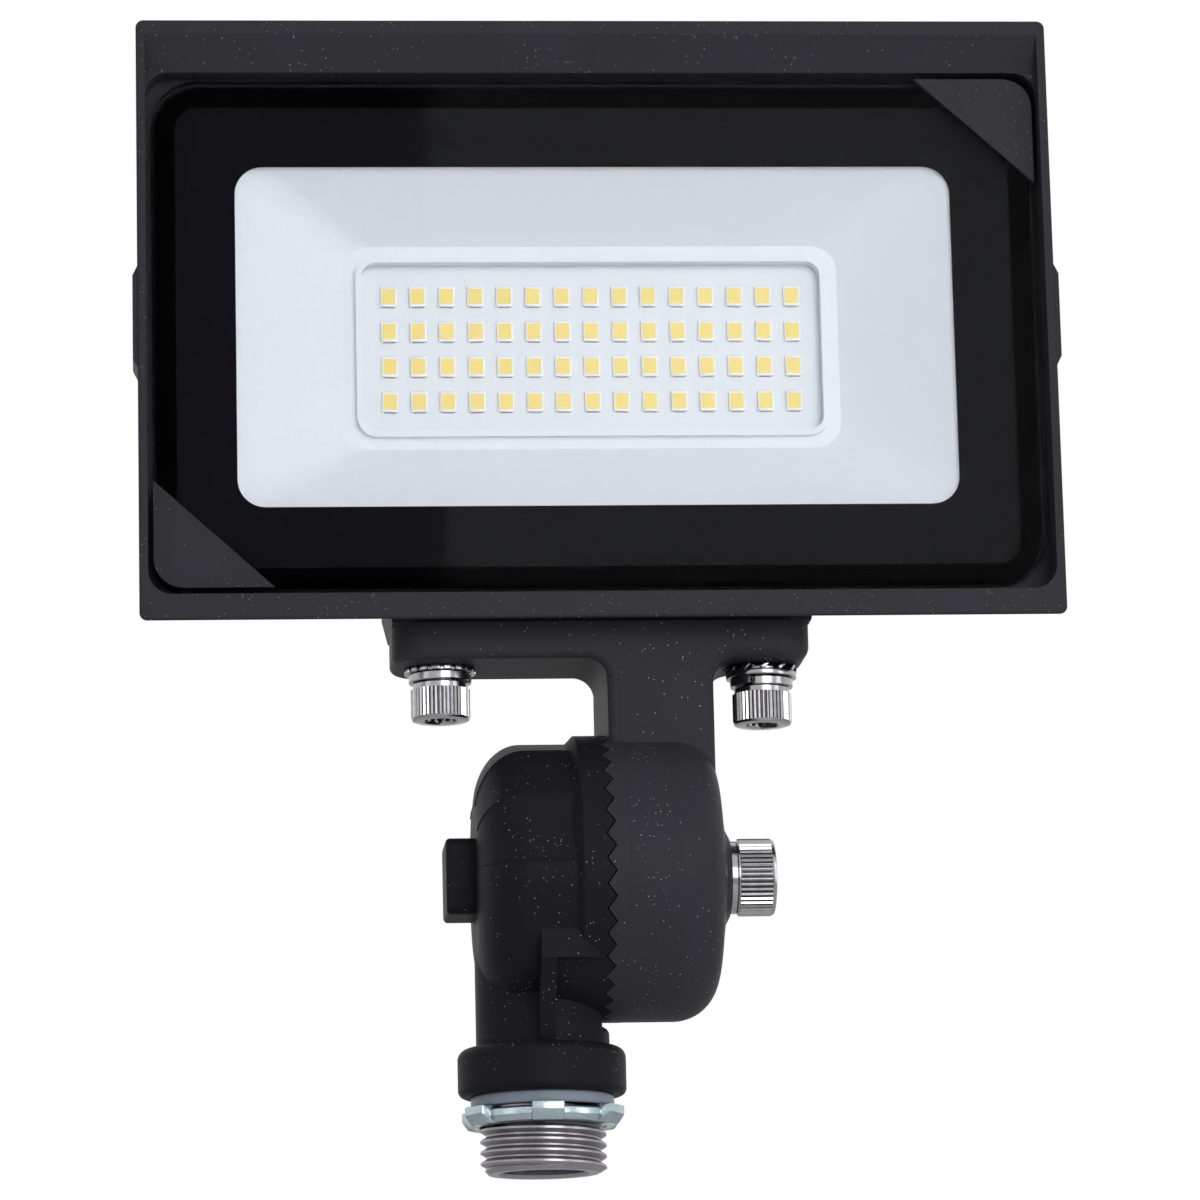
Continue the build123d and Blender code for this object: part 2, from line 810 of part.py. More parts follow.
def arm_screw_places():
    """Where the two arm screws stand along X, left one first."""
    middle = head_centre_x + arm_screw_shift
    return (middle - arm_screw_spacing / 2, middle + arm_screw_spacing / 2)


def toothed_thicknesses():
    """Thickness of the toothed washer on each arm screw, left one first."""
    return (flat_toothed_thickness, twisted_toothed_thickness)


def arm_screws():
    """Two M6 socket head screws that hold the arm to the housing."""
    screws = []
    for x, toothed in zip(arm_screw_places(), toothed_thicknesses()):
        screw = socket_screw(
            arm_screw_diameter,
            arm_screw_length,
            arm_screw_head_diameter,
            arm_screw_head_height,
            arm_screw_socket,
            arm_screw_socket_depth,
            arm_screw_head_chamfer,
        )
        screws.append(Pos(x, 0, plate_under_z - toothed - spring_washer_thickness) * screw)
    return Compound(children=screws)


def arm_spring_washers():
    """One spring washer on each arm screw."""
    washers = []
    bore = arm_screw_diameter + 2 * washer_bore_gap
    for x, toothed in zip(arm_screw_places(), toothed_thicknesses()):
        ring = split_washer(spring_washer_diameter, bore, spring_washer_thickness, washer_slit)
        z = plate_under_z - toothed - spring_washer_thickness / 2
        washers.append(Pos(x, 0, z) * (Rot(0, 0, -90) * ring))
    return Compound(children=washers)


def toothed_washer(x, thickness, twist):
    """Washer with notches round its rim that leave teeth, turned by an angle."""
    low = plate_under_z - thickness
    bore = arm_screw_diameter + 2 * washer_bore_gap
    ring = rod_z(toothed_washer_diameter, low, plate_under_z)
    ring -= rod_z(bore, low - reach, plate_under_z + reach)
    half = toothed_washer_notch_width / 2
    rim = toothed_washer_diameter / 2
    notch = block(rim - toothed_washer_notch, rim + reach, -half, half, low - reach, plate_under_z + reach)
    for i in range(toothed_washer_teeth):
        ring -= Rot(0, 0, twist + 360 * i / toothed_washer_teeth) * notch
    return Pos(x, 0, 0) * ring


def flat_toothed_washer():
    """Toothed washer on the left arm screw."""
    return toothed_washer(arm_screw_places()[0], flat_toothed_thickness, 0)


def twisted_toothed_washer():
    """Thicker toothed washer on the right arm screw."""
    return toothed_washer(arm_screw_places()[1], twisted_toothed_thickness, toothed_washer_turn)


def arm_seal_outline(grow):
    """Rounded outline round the arm's wire way, grown outwards."""
    width = channel_width + 2 * (arm_seal_margin + grow)
    depth = channel_depth + 2 * (arm_seal_margin + grow)
    return RectangleRounded(width, depth, arm_seal_corner + grow)


def arm_seal_ring(z_low, z_high, gap=0.0):
    """Flat ring round the wire way, grown by a gap on both walls."""
    ring = arm_seal_outline(arm_seal_width + gap) - arm_seal_outline(-gap)
    return Pos(leg_centre_x, 0, z_low) * extrude(ring, amount=z_high - z_low)


def arm_seal():
    """Silicone ring between the arm's plate and the housing's foot."""
    return arm_seal_ring(plate_top_z, plate_top_z + arm_seal_thickness)


def housing_outline(y):
    """Left, right, bottom and top of the tapered body at a depth."""
    back = y - rim_front_y - rim_edge_round
    half = housing_width / 2 - back * tan(radians(taper_side))
    low = housing_bottom_z + back * tan(radians(taper_bottom))
    high = housing_top_z - back * tan(radians(taper_top))
    return head_centre_x - half, head_centre_x + half, low, high


def housing_shell():
    """Tapered outer body with rounded corners, still solid."""
    wires = []
    for y in (rim_front_y, wall_outer_y):
        left, right, low, high = housing_outline(y)
        corners = ((left, y, low), (right, y, low), (right, y, high), (left, y, high))
        wires.append(Polyline(*corners, close=True).wire())
    shell = Solid.make_loft(wires, ruled=True)
    long_edges = shell.edges().filter_by(lambda e: abs(e.tangent_at(0.5).Y) > 0.5)
    shell = fillet(long_edges, outer_corner)
    front = shell.faces().sort_by(Axis.Y)[0]
    return fillet(front.edges(), rim_edge_round)


def top_slope_cut():
    """The band above the pocket, cut back so that it leans towards the glass."""
    top = pocket_top_z + top_slope
    beyond = reach * top_slope / top_slope_depth
    outline = Polyline(
        (rim_front_y - reach, top + beyond),
        (rim_front_y + top_slope_depth, pocket_top_z),
        (rim_front_y + top_slope_depth, pocket_top_z - pocket_corner),
        (rim_front_y - reach, pocket_top_z - pocket_corner),
        close=True,
    )
    wedge = extrude(Plane.YZ * make_face(outline), amount=pocket_width)
    return Pos(head_centre_x - pocket_width / 2, 0, 0) * wedge


def side_bump(side):
    """Low pad with sloped ends on one side of the rim."""
    low, high = housing_outline(rim_front_y)[2:]
    wall = head_centre_x + side * housing_width / 2
    centre = (low + high) / 2
    proud = wall + side * side_bump_proud
    inside = wall - side * (side_lip / 2 + side_bump_depth * tan(radians(taper_side)))
    half = side_bump_height / 2
    outline = Polyline(
        (inside, centre - half),
        (wall, centre - half),
        (proud, centre - half + side_bump_slope),
        (proud, centre + half - side_bump_slope),
        (wall, centre + half),
        (inside, centre + half),
        close=True,
    )
    pad = extrude(Plane.XZ * make_face(outline), amount=side_bump_depth, dir=(0, 1, 0))
    return Pos(0, rim_front_y + rim_edge_round, 0) * pad


def fin(x):
    """One upright cooling fin, rounded at both ends."""
    low, high = housing_outline(wall_outer_y)[2:]
    root = wall_outer_y - back_wall / 2
    low += fin_end_inset
    high -= fin_end_inset
    size = min(fin_end_round, fin_depth - reach)
    bend = size * (1 - 1 / sqrt(2))
    outline = [
        Line((root, low), (fin_back_y - size, low)),
        ThreePointArc(
            (fin_back_y - size, low), (fin_back_y - bend, low + bend), (fin_back_y, low + size)
        ),
        Line((fin_back_y, low + size), (fin_back_y, high - size)),
        ThreePointArc(
            (fin_back_y, high - size), (fin_back_y - bend, high - bend), (fin_back_y - size, high)
        ),
        Line((fin_back_y - size, high), (root, high)),
        Line((root, high), (root, low)),
    ]
    plate = extrude(Plane.YZ * make_face(outline), amount=fin_thickness / 2, both=True)
    return Pos(x, 0, 0) * plate


def foot():
    """Block under the body that the arm is screwed to, with ends that flare upwards."""
    half = plate_length / 2
    outline = Polyline(
        (head_centre_x - half, plate_top_z),
        (head_centre_x + half, plate_top_z),
        (head_centre_x + half + foot_flare, plate_top_z + foot_flare_rise),
        (head_centre_x + half + foot_flare, plate_top_z + foot_height),
        (head_centre_x - half - foot_flare, plate_top_z + foot_height),
        (head_centre_x - half - foot_flare, plate_top_z + foot_flare_rise),
        close=True,
    )
    half_depth = plate_depth / 2 - foot_setback
    return extrude(Plane.XZ * make_face(outline), amount=half_depth, both=True)


def corner_signs():
    """The four corners of the head, as left or right and down or up."""
    return [(side, level) for side in (-1, 1) for level in (-1, 1)]


def post_place(side, level):
    """Where a reflector post stands, as x and z."""
    inset = reflector_post_diameter / 2 + reflector_post_inset
    x = head_centre_x + side * (cavity_width / 2 - inset)
    z = glass_centre_z + level * (cavity_height / 2 - inset)
    return x, z


def board_screw_places():
    """Six screws along the long edges of the board, as x and z."""
    across = board_width / 2 - board_screw_inset
    up = board_height / 2 - board_screw_inset
    places = []
    for i in (-1, 0, 1):
        for level in (-1, 1):
            places.append((head_centre_x + i * across, light_centre_z + level * up))
    return places


def earth_screw_place():
    """Where the earth screw stands, as x and z."""
    x, z = post_place(1, 1)
    return x, glass_centre_z - earth_screw_drop


def breather_place():
    """Where the breather plug stands, as x and z, beside the board."""
    x, z = post_place(-1, 1)
    return x, glass_centre_z - breather_drop


def housing():
    """Die-cast body: rim, glass pocket, hollow, foot and cooling fins."""
    body = housing_shell() + foot() + side_bump(-1) + side_bump(1)
    middle = (fin_count - 1) / 2
    body += [fin(head_centre_x + (i - middle) * fin_pitch) for i in range(fin_count)]
    body -= rod_y(
        breather_pad_diameter + 2 * breather_clearance,
        wall_outer_y,
        fin_back_y + reach,
        *breather_place(),
    )
    body += rod_y(
        breather_pad_diameter,
        wall_outer_y - reach,
        wall_outer_y + breather_pad_height,
        *breather_place(),
    )
    body -= rounded_slab(
        pocket_width,
        pocket_height,
        pocket_corner,
        rim_front_y - reach,
        ledge_y,
        head_centre_x,
        pocket_centre_z,
    )
    body -= top_slope_cut()
    body -= rounded_slab(
        cavity_width,
        cavity_height,
        cavity_corner,
        ledge_y - reach,
        wall_inner_y,
        head_centre_x,
        glass_centre_z,
    )
    for side, level in ((1, 1), (-1, -1)):
        body -= clamp_tongue(side, level, clamp_gap)
    body -= rod_z(
        wire_hole_diameter, plate_top_z - reach, cavity_bottom_z + reach, leg_centre_x, wire_hole_y
    )
    body -= arm_seal_ring(plate_top_z - reach, plate_top_z + arm_seal_thickness, arm_seal_gap)
    for x, toothed in zip(arm_screw_places(), toothed_thicknesses()):
        tip = plate_under_z - toothed - spring_washer_thickness + arm_screw_length
        hole = arm_screw_diameter + 2 * arm_screw_thread_gap
        body -= rod_z(hole, plate_top_z - reach, tip + arm_screw_hole_spare, x)
    for x, z in board_screw_places():
        tip = board_front_y + board_screw_length
        hole = board_screw_diameter + 2 * small_screw_gap
        body -= rod_y(hole, wall_inner_y - reach, tip + small_screw_gap, x, z)
    for side, level in corner_signs():
        x, z = post_place(side, level)
        hole = reflector_screw_diameter + 2 * small_screw_gap
        body -= rod_y(hole, wall_inner_y - reach, reflector_screw_tip() + small_screw_gap, x, z)
    x, z = earth_screw_place()
    hole = earth_screw_diameter + 2 * small_screw_gap
    tip = wall_inner_y + earth_screw_length - earth_screw_head_height
    body -= rod_y(hole, wall_inner_y - reach, tip + small_screw_gap, x, z)
    hole = breather_shank_diameter + 2 * breather_gap
    body -= rod_y(hole, wall_inner_y - reach, fin_back_y, *breather_place())
    return body


def front_glass():
    """Toughened glass plate with ground edges."""
    plate = rounded_slab(
        glass_width, glass_height, glass_corner, glass_front_y, glass_back_y, head_centre_x, glass_centre_z
    )
    return chamfer(plate.faces().sort_by(Axis.Y)[0].edges(), glass_chamfer)


def glass_gasket():
    """Flat silicone frame under the edge of the glass."""
    width = glass_width - 2 * glass_gasket_inset
    height = glass_height - 2 * glass_gasket_inset
    ring = rounded_slab(width, height, glass_corner, glass_back_y, ledge_y, head_centre_x, glass_centre_z)
    return ring - rounded_slab(
        cavity_width,
        cavity_height,
        cavity_corner,
        glass_back_y - reach,
        ledge_y + reach,
        head_centre_x,
        glass_centre_z,
    )


def clamp_tongue(side, level, gap=0.0):
    """Tongue of a clamp that drops past the glass's corner into the ledge."""
    corner_x = head_centre_x + side * glass_width / 2
    corner_z = glass_centre_z + level * glass_height / 2
    outside = rounded_slab(
        glass_width + 2 * gap,
        glass_height + 2 * gap,
        clamp_corner + gap,
        glass_front_y - clamp_gap,
        ledge_y + clamp_tongue_sink + gap,
        head_centre_x,
        glass_centre_z,
    )
    inside = rounded_slab(
        glass_width + 2 * (clamp_gap - gap),
        glass_height + 2 * (clamp_gap - gap),
        glass_corner + clamp_gap - gap,
        glass_front_y - reach,
        ledge_y + clamp_tongue_sink + reach,
        head_centre_x,
        glass_centre_z,
    )
    width = clamp_tongue_width + 2 * gap
    depth = 2 * (ledge_y + clamp_tongue_sink + reach - glass_front_y)
    strip = Rot(0, 45 * side * level, 0) * Box(width, depth, 2 * glass_corner)
    return (outside - inside) & (Pos(corner_x, glass_front_y, corner_z) * strip)


def corner_clamp(side, level):
    """Three-cornered plate over one corner of the glass."""
    outline = rounded_slab(
        glass_width,
        glass_height,
        clamp_corner,
        glass_front_y - clamp_thickness,
        glass_front_y,
        head_centre_x,
        glass_centre_z,
    )
    corner_x = head_centre_x + side * glass_width / 2
    corner_z = glass_centre_z + level * glass_height / 2
    triangle = Polyline(
        (corner_x + side * reach, corner_z + level * reach),
        (corner_x - side * clamp_width, corner_z + level * reach),
        (corner_x - side * clamp_width, corner_z),
        (corner_x, corner_z - level * clamp_height),
        (corner_x + side * reach, corner_z - level * clamp_height),
        close=True,
    )
    prism = extrude(Plane.XZ * make_face(triangle), amount=glass_setback * 2, both=True)
    plate = outline & (Pos(0, glass_front_y, 0) * prism)
    return plate + clamp_tongue(side, level)


def corner_clamps():
    """Two clamps, upper right and lower left."""
    return Compound(children=[corner_clamp(1, 1), corner_clamp(-1, -1)])


def reflector_cone(grow, y_front, y_back):
    """Tapering hollow of the reflector, grown outwards by a wall."""
    front_width = window_width + 2 * (reflector_overlap + grow)
    front_height = window_height + 2 * (reflector_overlap + grow)
    back_width = reflector_floor_width + 2 * grow
    back_height = reflector_floor_height + 2 * grow
    front = Plane.XZ * RectangleRounded(front_width, front_height, reflector_corner + grow)
    back = Plane.XZ * RectangleRounded(back_width, back_height, reflector_floor_corner + grow)
    cone = loft([Pos(0, y_front, 0) * front, Pos(0, y_back, 0) * back], ruled=True)
    return Pos(head_centre_x, 0, light_centre_z) * cone


def opening_slab(grow, y_front, y_back):
    """Rounded plate the size of the reflector's opening, grown outwards."""
    return rounded_slab(
        reflector_opening_width + 2 * grow,
        reflector_opening_height + 2 * grow,
        reflector_opening_corner + grow,
        y_front,
        y_back,
        head_centre_x,
        light_centre_z,
    )


def reflector():
    """White tray that funnels the light to the window, on four posts."""
    flange_back_y = reflector_front_y + reflector_wall
    floor_back_y = reflector_floor_y + reflector_wall
    tray = rounded_slab(
        cavity_width - 2 * reflector_edge_gap,
        cavity_height - 2 * reflector_edge_gap,
        cavity_corner - reflector_edge_gap,
        reflector_front_y,
        flange_back_y,
        head_centre_x,
        glass_centre_z,
    )
    tray += reflector_cone(reflector_wall, reflector_front_y, floor_back_y)
    for side, level in corner_signs():
        x, z = post_place(side, level)
        tray += rod_y(reflector_post_diameter, reflector_front_y, wall_inner_y, x, z)
    tray -= reflector_cone(0, reflector_front_y, reflector_floor_y)
    tray += opening_slab(reflector_lip_width, reflector_floor_y - reflector_lip_height, floor_back_y)
    tray -= opening_slab(0, reflector_front_y - reach, board_front_y)
    for side, level in corner_signs():
        x, z = post_place(side, level)
        hole = reflector_screw_diameter + 2 * small_screw_gap
        tray -= rod_y(hole, reflector_front_y - reach, wall_inner_y + reach, x, z)
        tray -= sunk_head(x, z, small_screw_gap)
    return tray


def sunk_head(x, z, gap=0.0):
    """Countersunk head of a reflector screw, level with the reflector's front."""
    narrow = reflector_screw_diameter / 2 + gap
    wide = reflector_screw_head / 2 + gap
    cone = Cone(narrow, wide, reflector_screw_head_height)
    middle = reflector_front_y + reflector_screw_head_height / 2
    return Pos(x, middle, z) * (Rot(90, 0, 0) * cone)


def reflector_screw_tip():
    """How far back the reflector screws reach."""
    return wall_inner_y + reflector_screw_bite


def reflector_screws():
    """Four countersunk screws through the reflector's posts."""
    screws = []
    for side, level in corner_signs():
        x, z = post_place(side, level)
        start = reflector_front_y + reflector_screw_head_height / 2
        shank = rod_y(reflector_screw_diameter, start, reflector_screw_tip(), x, z)
        slot = block(
            x - reflector_screw_slot_length / 2,
            x + reflector_screw_slot_length / 2,
            reflector_front_y - reach,
            reflector_front_y + reflector_screw_head_height / 2,
            z - reflector_screw_slot_width / 2,
            z + reflector_screw_slot_width / 2,
        )
        screws.append(sunk_head(x, z) + shank - slot)
    return Compound(children=screws)


def drilled_plate(width, height, y_front, y_back):
    """Board-shaped plate with the holes for the board screws."""
    plate = rounded_slab(width, height, board_corner, y_front, y_back, head_centre_x, light_centre_z)
    hole = board_screw_diameter + 2 * small_screw_gap
    for x, z in board_screw_places():
        plate -= rod_y(hole, y_front - reach, y_back + reach, x, z)
    return plate


def led_board():
    """Aluminium circuit board."""
    return drilled_plate(board_width, board_height, board_front_y, board_back_y)


def thermal_pad():
    """Soft heat-conducting sheet between board and housing."""
    return drilled_plate(
        board_width - 2 * thermal_pad_inset, board_height - 2 * thermal_pad_inset, board_back_y, wall_inner_y
    )


def on_board(width, height, thickness, x, z):
    """Box soldered to the front of the board."""
    return block(
        x - width / 2, x + width / 2, board_front_y - thickness, board_front_y, z - height / 2, z + height / 2
    )


def leds():
    """Grid of LED packages."""
    packages = []
    for row in range(led_rows):
        for column in range(led_columns):
            x = head_centre_x + (column - (led_columns - 1) / 2) * led_pitch_x
            z = light_centre_z + (row - (led_rows - 1) / 2) * led_pitch_z
            packages.append(on_board(led_width, led_height, led_thickness, x, z))
    return Compound(children=packages)


def side_component_x(side, width):
    """Middle of a component at the left or right edge of the board."""
    return head_centre_x + side * (board_width / 2 - chip_edge_inset - width / 2)


def driver_chips():
    """Three driver chips in a column at the left edge of the board."""
    x = side_component_x(-1, chip_width)
    levels = (-chip_pitch, 0, chip_pitch)
    return Compound(
        children=[on_board(chip_width, chip_height, chip_thickness, x, light_centre_z + z) for z in levels]
    )


def rectifier():
    """Bridge rectifier at the right edge of the board."""
    x = side_component_x(1, rectifier_size)
    return on_board(rectifier_size, rectifier_size, rectifier_thickness, x, light_centre_z)


def surge_disc():
    """Surge absorber, a disc below the rectifier."""
    x = side_component_x(1, surge_disc_diameter)
    z = light_centre_z - chip_pitch
    return rod_y(surge_disc_diameter, board_front_y - surge_disc_thickness, board_front_y, x, z)


def fuse():
    """Fuse above the rectifier."""
    x = side_component_x(1, fuse_section)
    body = on_board(fuse_section, fuse_length, fuse_section, x, light_centre_z + chip_pitch)
    return fillet(body.edges().filter_by(Axis.Z), fuse_section / 5)


def lead_connector():
    """Three-way push-in connector at the lower edge of the board."""
    z = light_centre_z - board_height / 2 + connector_inset + connector_height / 2
    middle = leg_centre_x + connector_shift
    body = on_board(connector_width, connector_height, connector_thickness, middle, z)
    low = z - connector_height / 2
    y = board_front_y - connector_thickness / 2
    for i in (-1, 0, 1):
        x = middle + i * connector_pitch
        body -= rod_z(connector_entry, low - reach, low + connector_entry_depth, x, y)
    return body


def pan_screw(x, z, seat_y, diameter, length, head, head_height):
    """Round-headed screw along Y with a cross recess."""
    screw = rod_y(head, seat_y - head_height, seat_y, x, z)
    screw = fillet(screw.edges().group_by(Axis.Y)[0], head_height * pan_head_round_share)
    screw += rod_y(diameter, seat_y - head_height / 2, seat_y + length, x, z)
    far = head * screw_recess_reach_share
    near = diameter * screw_recess_width_share
    floor = seat_y - head_height * screw_recess_floor_share
    for wide, tall in ((far, near), (near, far)):
        screw -= block(x - wide, x + wide, seat_y - head_height - reach, floor, z - tall, z + tall)
    return screw


def board_screws():
    """Six screws that press the board on its thermal pad."""
    screws = []
    for x, z in board_screw_places():
        screws.append(
            pan_screw(
                x,
                z,
                board_front_y,
                board_screw_diameter,
                board_screw_length,
                board_screw_head,
                board_screw_head_height,
            )
        )
    return Compound(children=screws)


def earth_screw():
    """Screw for the earth lead on the housing's back wall."""
    x, z = earth_screw_place()
    length = earth_screw_length - earth_screw_head_height
    return pan_screw(
        x, z, wall_inner_y, earth_screw_diameter, length, earth_screw_head, earth_screw_head_height
    )


def wire_grommet():
    """Rubber bush where the leads come up into the housing."""
    flange_top = cavity_bottom_z + grommet_flange_thickness
    bush = rod_z(
        wire_hole_diameter - 2 * grommet_gap, plate_top_z + reach, flange_top, leg_centre_x, wire_hole_y
    )
    bush += rod_z(grommet_flange_diameter, cavity_bottom_z, flange_top, leg_centre_x, wire_hole_y)
    return bush - rod_z(grommet_bore, plate_top_z, flange_top + reach, leg_centre_x, wire_hole_y)


def breather_plug():
    """Slotted plug that lets the housing breathe."""
    seat = wall_outer_y + breather_pad_height + breather_seal_thickness
    x, z = breather_place()
    cap = rod_y(breather_diameter, seat, seat + breather_height, x, z)
    cap = fillet(cap.edges().group_by(Axis.Y)[-1], breather_round)
    half = breather_slot_width / 2
    slot = block(
        breather_slot_radius,
        breather_diameter,
        seat + breather_slot_low,
        seat + breather_slot_high,
        -half,
        half,
    )
    for i in range(breather_slots):
        cap -= Pos(x, 0, z) * (Rot(0, 360 * i / breather_slots, 0) * slot)
    return cap + rod_y(breather_shank_diameter, seat - breather_shank_length, seat + reach, x, z)


def breather_seal():
    """Rubber ring under the breather plug."""
    seat = wall_outer_y + breather_pad_height
    x, z = breather_place()
    ring = rod_y(breather_diameter, seat, seat + breather_seal_thickness, x, z)
    bore = breather_shank_diameter + 2 * breather_gap
    return ring - rod_y(bore, seat - reach, seat + breather_seal_thickness + reach, x, z)


nodes = {
    "knuckle_base": knuckle_base,
    "pivot_insert": pivot_insert,
    "knuckle_seal": knuckle_seal,
    "hub_gasket": hub_gasket,
    "locknut": locknut,
    "pivot_washer": pivot_washer,
    "pivot_bolt": pivot_bolt,
    "arm": arm,
    "arm_seal": arm_seal,
    "arm_screws": arm_screws,
    "arm_spring_washers": arm_spring_washers,
    "flat_toothed_washer": flat_toothed_washer,
    "twisted_toothed_washer": twisted_toothed_washer,
    "housing": housing,
    "front_glass": front_glass,
    "glass_gasket": glass_gasket,
    "corner_clamps": corner_clamps,
    "reflector": reflector,
    "reflector_screws": reflector_screws,
    "led_board": led_board,
    "leds": leds,
    "thermal_pad": thermal_pad,
    "driver_chips": driver_chips,
    "rectifier": rectifier,
    "surge_disc": surge_disc,
    "fuse": fuse,
    "lead_connector": lead_connector,
    "board_screws": board_screws,
    "earth_screw": earth_screw,
    "wire_grommet": wire_grommet,
    "breather_plug": breather_plug,
    "breather_seal": breather_seal,
}

os.makedirs("parts", exist_ok=True)
for name, make in nodes.items():
    export_step(make(), f"parts/{name}.step")
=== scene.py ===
from math import cos, pi, radians, sin

import bmesh
import bpy
from mathutils import Matrix, Vector


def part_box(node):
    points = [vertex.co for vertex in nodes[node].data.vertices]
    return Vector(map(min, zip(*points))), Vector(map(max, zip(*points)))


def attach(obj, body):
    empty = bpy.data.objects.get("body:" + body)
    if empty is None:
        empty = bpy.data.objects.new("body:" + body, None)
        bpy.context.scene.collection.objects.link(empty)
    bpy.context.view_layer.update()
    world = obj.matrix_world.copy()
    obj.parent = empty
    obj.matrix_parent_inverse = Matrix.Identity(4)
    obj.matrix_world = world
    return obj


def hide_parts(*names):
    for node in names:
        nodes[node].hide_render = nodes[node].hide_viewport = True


# Looks of the LED floodlight, in metres. The lamp shines towards -Y and its nipple points down.
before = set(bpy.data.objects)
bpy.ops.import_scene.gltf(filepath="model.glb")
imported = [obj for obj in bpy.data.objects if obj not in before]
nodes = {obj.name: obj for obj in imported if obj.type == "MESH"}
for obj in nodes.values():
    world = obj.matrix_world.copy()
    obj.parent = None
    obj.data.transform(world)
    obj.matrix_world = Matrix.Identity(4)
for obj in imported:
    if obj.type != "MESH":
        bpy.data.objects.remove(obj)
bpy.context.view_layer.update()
scene = bpy.context.scene
MM = 0.001

# Camera: fitted to the housing's corners, the glass, the LED grid and the nipple
CAMERA_PLACE = (-64.224, -911.082, -100.675)
CAMERA_PITCH = 11.422
CAMERA_YAW = -4.753
CAMERA_ROLL = 1.351
CAMERA_LENS = 165.53
CAMERA_SENSOR = 36.0

camera_data = bpy.data.cameras.new("camera")
camera_data.lens = CAMERA_LENS
camera_data.sensor_width = CAMERA_SENSOR
camera_data.clip_start = 0.05
camera_data.clip_end = 20.0
camera = bpy.data.objects.new("camera", camera_data)
scene.collection.objects.link(camera)
turn = (
    Matrix.Rotation(radians(CAMERA_YAW), 3, "Z")
    @ Matrix.Rotation(radians(CAMERA_PITCH), 3, "X")
    @ Matrix.Rotation(radians(CAMERA_ROLL), 3, "Y")
)
right, forward, up = turn.col
camera.matrix_world = Matrix.Translation(Vector(CAMERA_PLACE) * MM) @ Matrix(
    (right, up, -forward)
).transposed().to_4x4()
scene.camera = camera


def colour(code):
    """Linear colour of an sRGB hex code."""
    parts = [int(code[i:i + 2], 16) / 255 for i in (1, 3, 5)]
    return tuple(p / 12.92 if p <= 0.04045 else ((p + 0.055) / 1.055) ** 2.4 for p in parts) + (1.0,)


def add(tree, kind, inputs=None, **settings):
    """Adds a node with its settings, and with values or links for its inputs."""
    node = tree.nodes.new(kind)
    for name, value in settings.items():
        setattr(node, name, value)
    for key, value in (inputs or {}).items():
        if isinstance(value, bpy.types.NodeSocket):
            tree.links.new(value, node.inputs[key])
        else:
            node.inputs[key].default_value = value
    return node


def finish(name, **values):
    """New material: its node tree, its shader with these values, and the coordinates in metres."""
    material = bpy.data.materials.new(name)
    material.use_nodes = True
    tree = material.node_tree
    tree.nodes.clear()
    shader = add(tree, "ShaderNodeBsdfPrincipled")
    for key, value in values.items():
        shader.inputs[key.replace("_", " ")].default_value = value
    add(tree, "ShaderNodeOutputMaterial", {"Surface": shader.outputs["BSDF"]})
    place = add(tree, "ShaderNodeTexCoord").outputs["Object"]
    return material, tree, shader, place


def per_mm(size):
    """Scale of a pattern whose grain is this many millimetres wide."""
    return 1.0 / (size * MM)


def powder_coat(name, dark, light, gloss):
    """Textured powder coat: an orange-peel skin, a dull sheen, and bright specks in drifts that are painted
    glints of its flakes.
    """
    material, tree, shader, place = finish(name, Roughness=0.5, Specular_IOR_Level=gloss)
    shade = add(tree, "ShaderNodeTexNoise", {"Vector": place, "Scale": per_mm(14.0), "Detail": 3.0})
    body = add(
        tree,
        "ShaderNodeMix",
        {0: shade.outputs["Fac"], 6: colour(dark), 7: colour(light)},
        data_type="RGBA",
    )
    # Specks of painted glint are 0.13 mm wide, at most one to each 0.5 mm cell, and lie closer together in
    # drifts
    cells = add(tree, "ShaderNodeTexVoronoi", {"Vector": place, "Scale": per_mm(0.5)})
    dot = add(tree, "ShaderNodeMath", {0: cells.outputs["Distance"], 1: 0.13}, operation="LESS_THAN")
    pick = add(tree, "ShaderNodeSeparateColor", {"Color": cells.outputs["Color"]})
    drift = add(tree, "ShaderNodeTexNoise", {"Vector": place, "Scale": per_mm(9.0), "Detail": 2.0})
    share = add(
        tree,
        "ShaderNodeMapRange",
        {
            "Value": drift.outputs["Fac"],
            "From Min": 0.42,
            "From Max": 0.62,
            "To Min": 0.985,
            "To Max": 0.55,
        },
    )
    chosen = add(
        tree,
        "ShaderNodeMath",
        {0: pick.outputs["Red"], 1: share.outputs["Result"]},
        operation="GREATER_THAN",
    )
    glint_speck = add(tree, "ShaderNodeMath", {0: dot.outputs[0], 1: chosen.outputs[0]}, operation="MULTIPLY")
    glint_strength = add(
        tree, "ShaderNodeMath", {0: glint_speck.outputs[0], 1: pick.outputs["Green"]}, operation="MULTIPLY"
    )
    # A pale colour mixed in at the specks: painted glints on the dark coat
    mixed = add(
        tree,
        "ShaderNodeMix",
        {0: glint_strength.outputs[0], 6: body.outputs[2], 7: colour("#dde2e6")},
        data_type="RGBA",
    )
    tree.links.new(mixed.outputs[2], shader.inputs["Base Color"])
    # Orange peel with grains of 0.45 mm and 0.02 mm deep
    peel = add(tree, "ShaderNodeTexNoise", {"Vector": place, "Scale": per_mm(0.45), "Detail": 2.0})
    bump = add(
        tree, "ShaderNodeBump", {"Height": peel.outputs["Fac"], "Strength": 0.35, "Distance": 0.02 * MM}
    )
    tree.links.new(bump.outputs["Normal"], shader.inputs["Normal"])
    return material


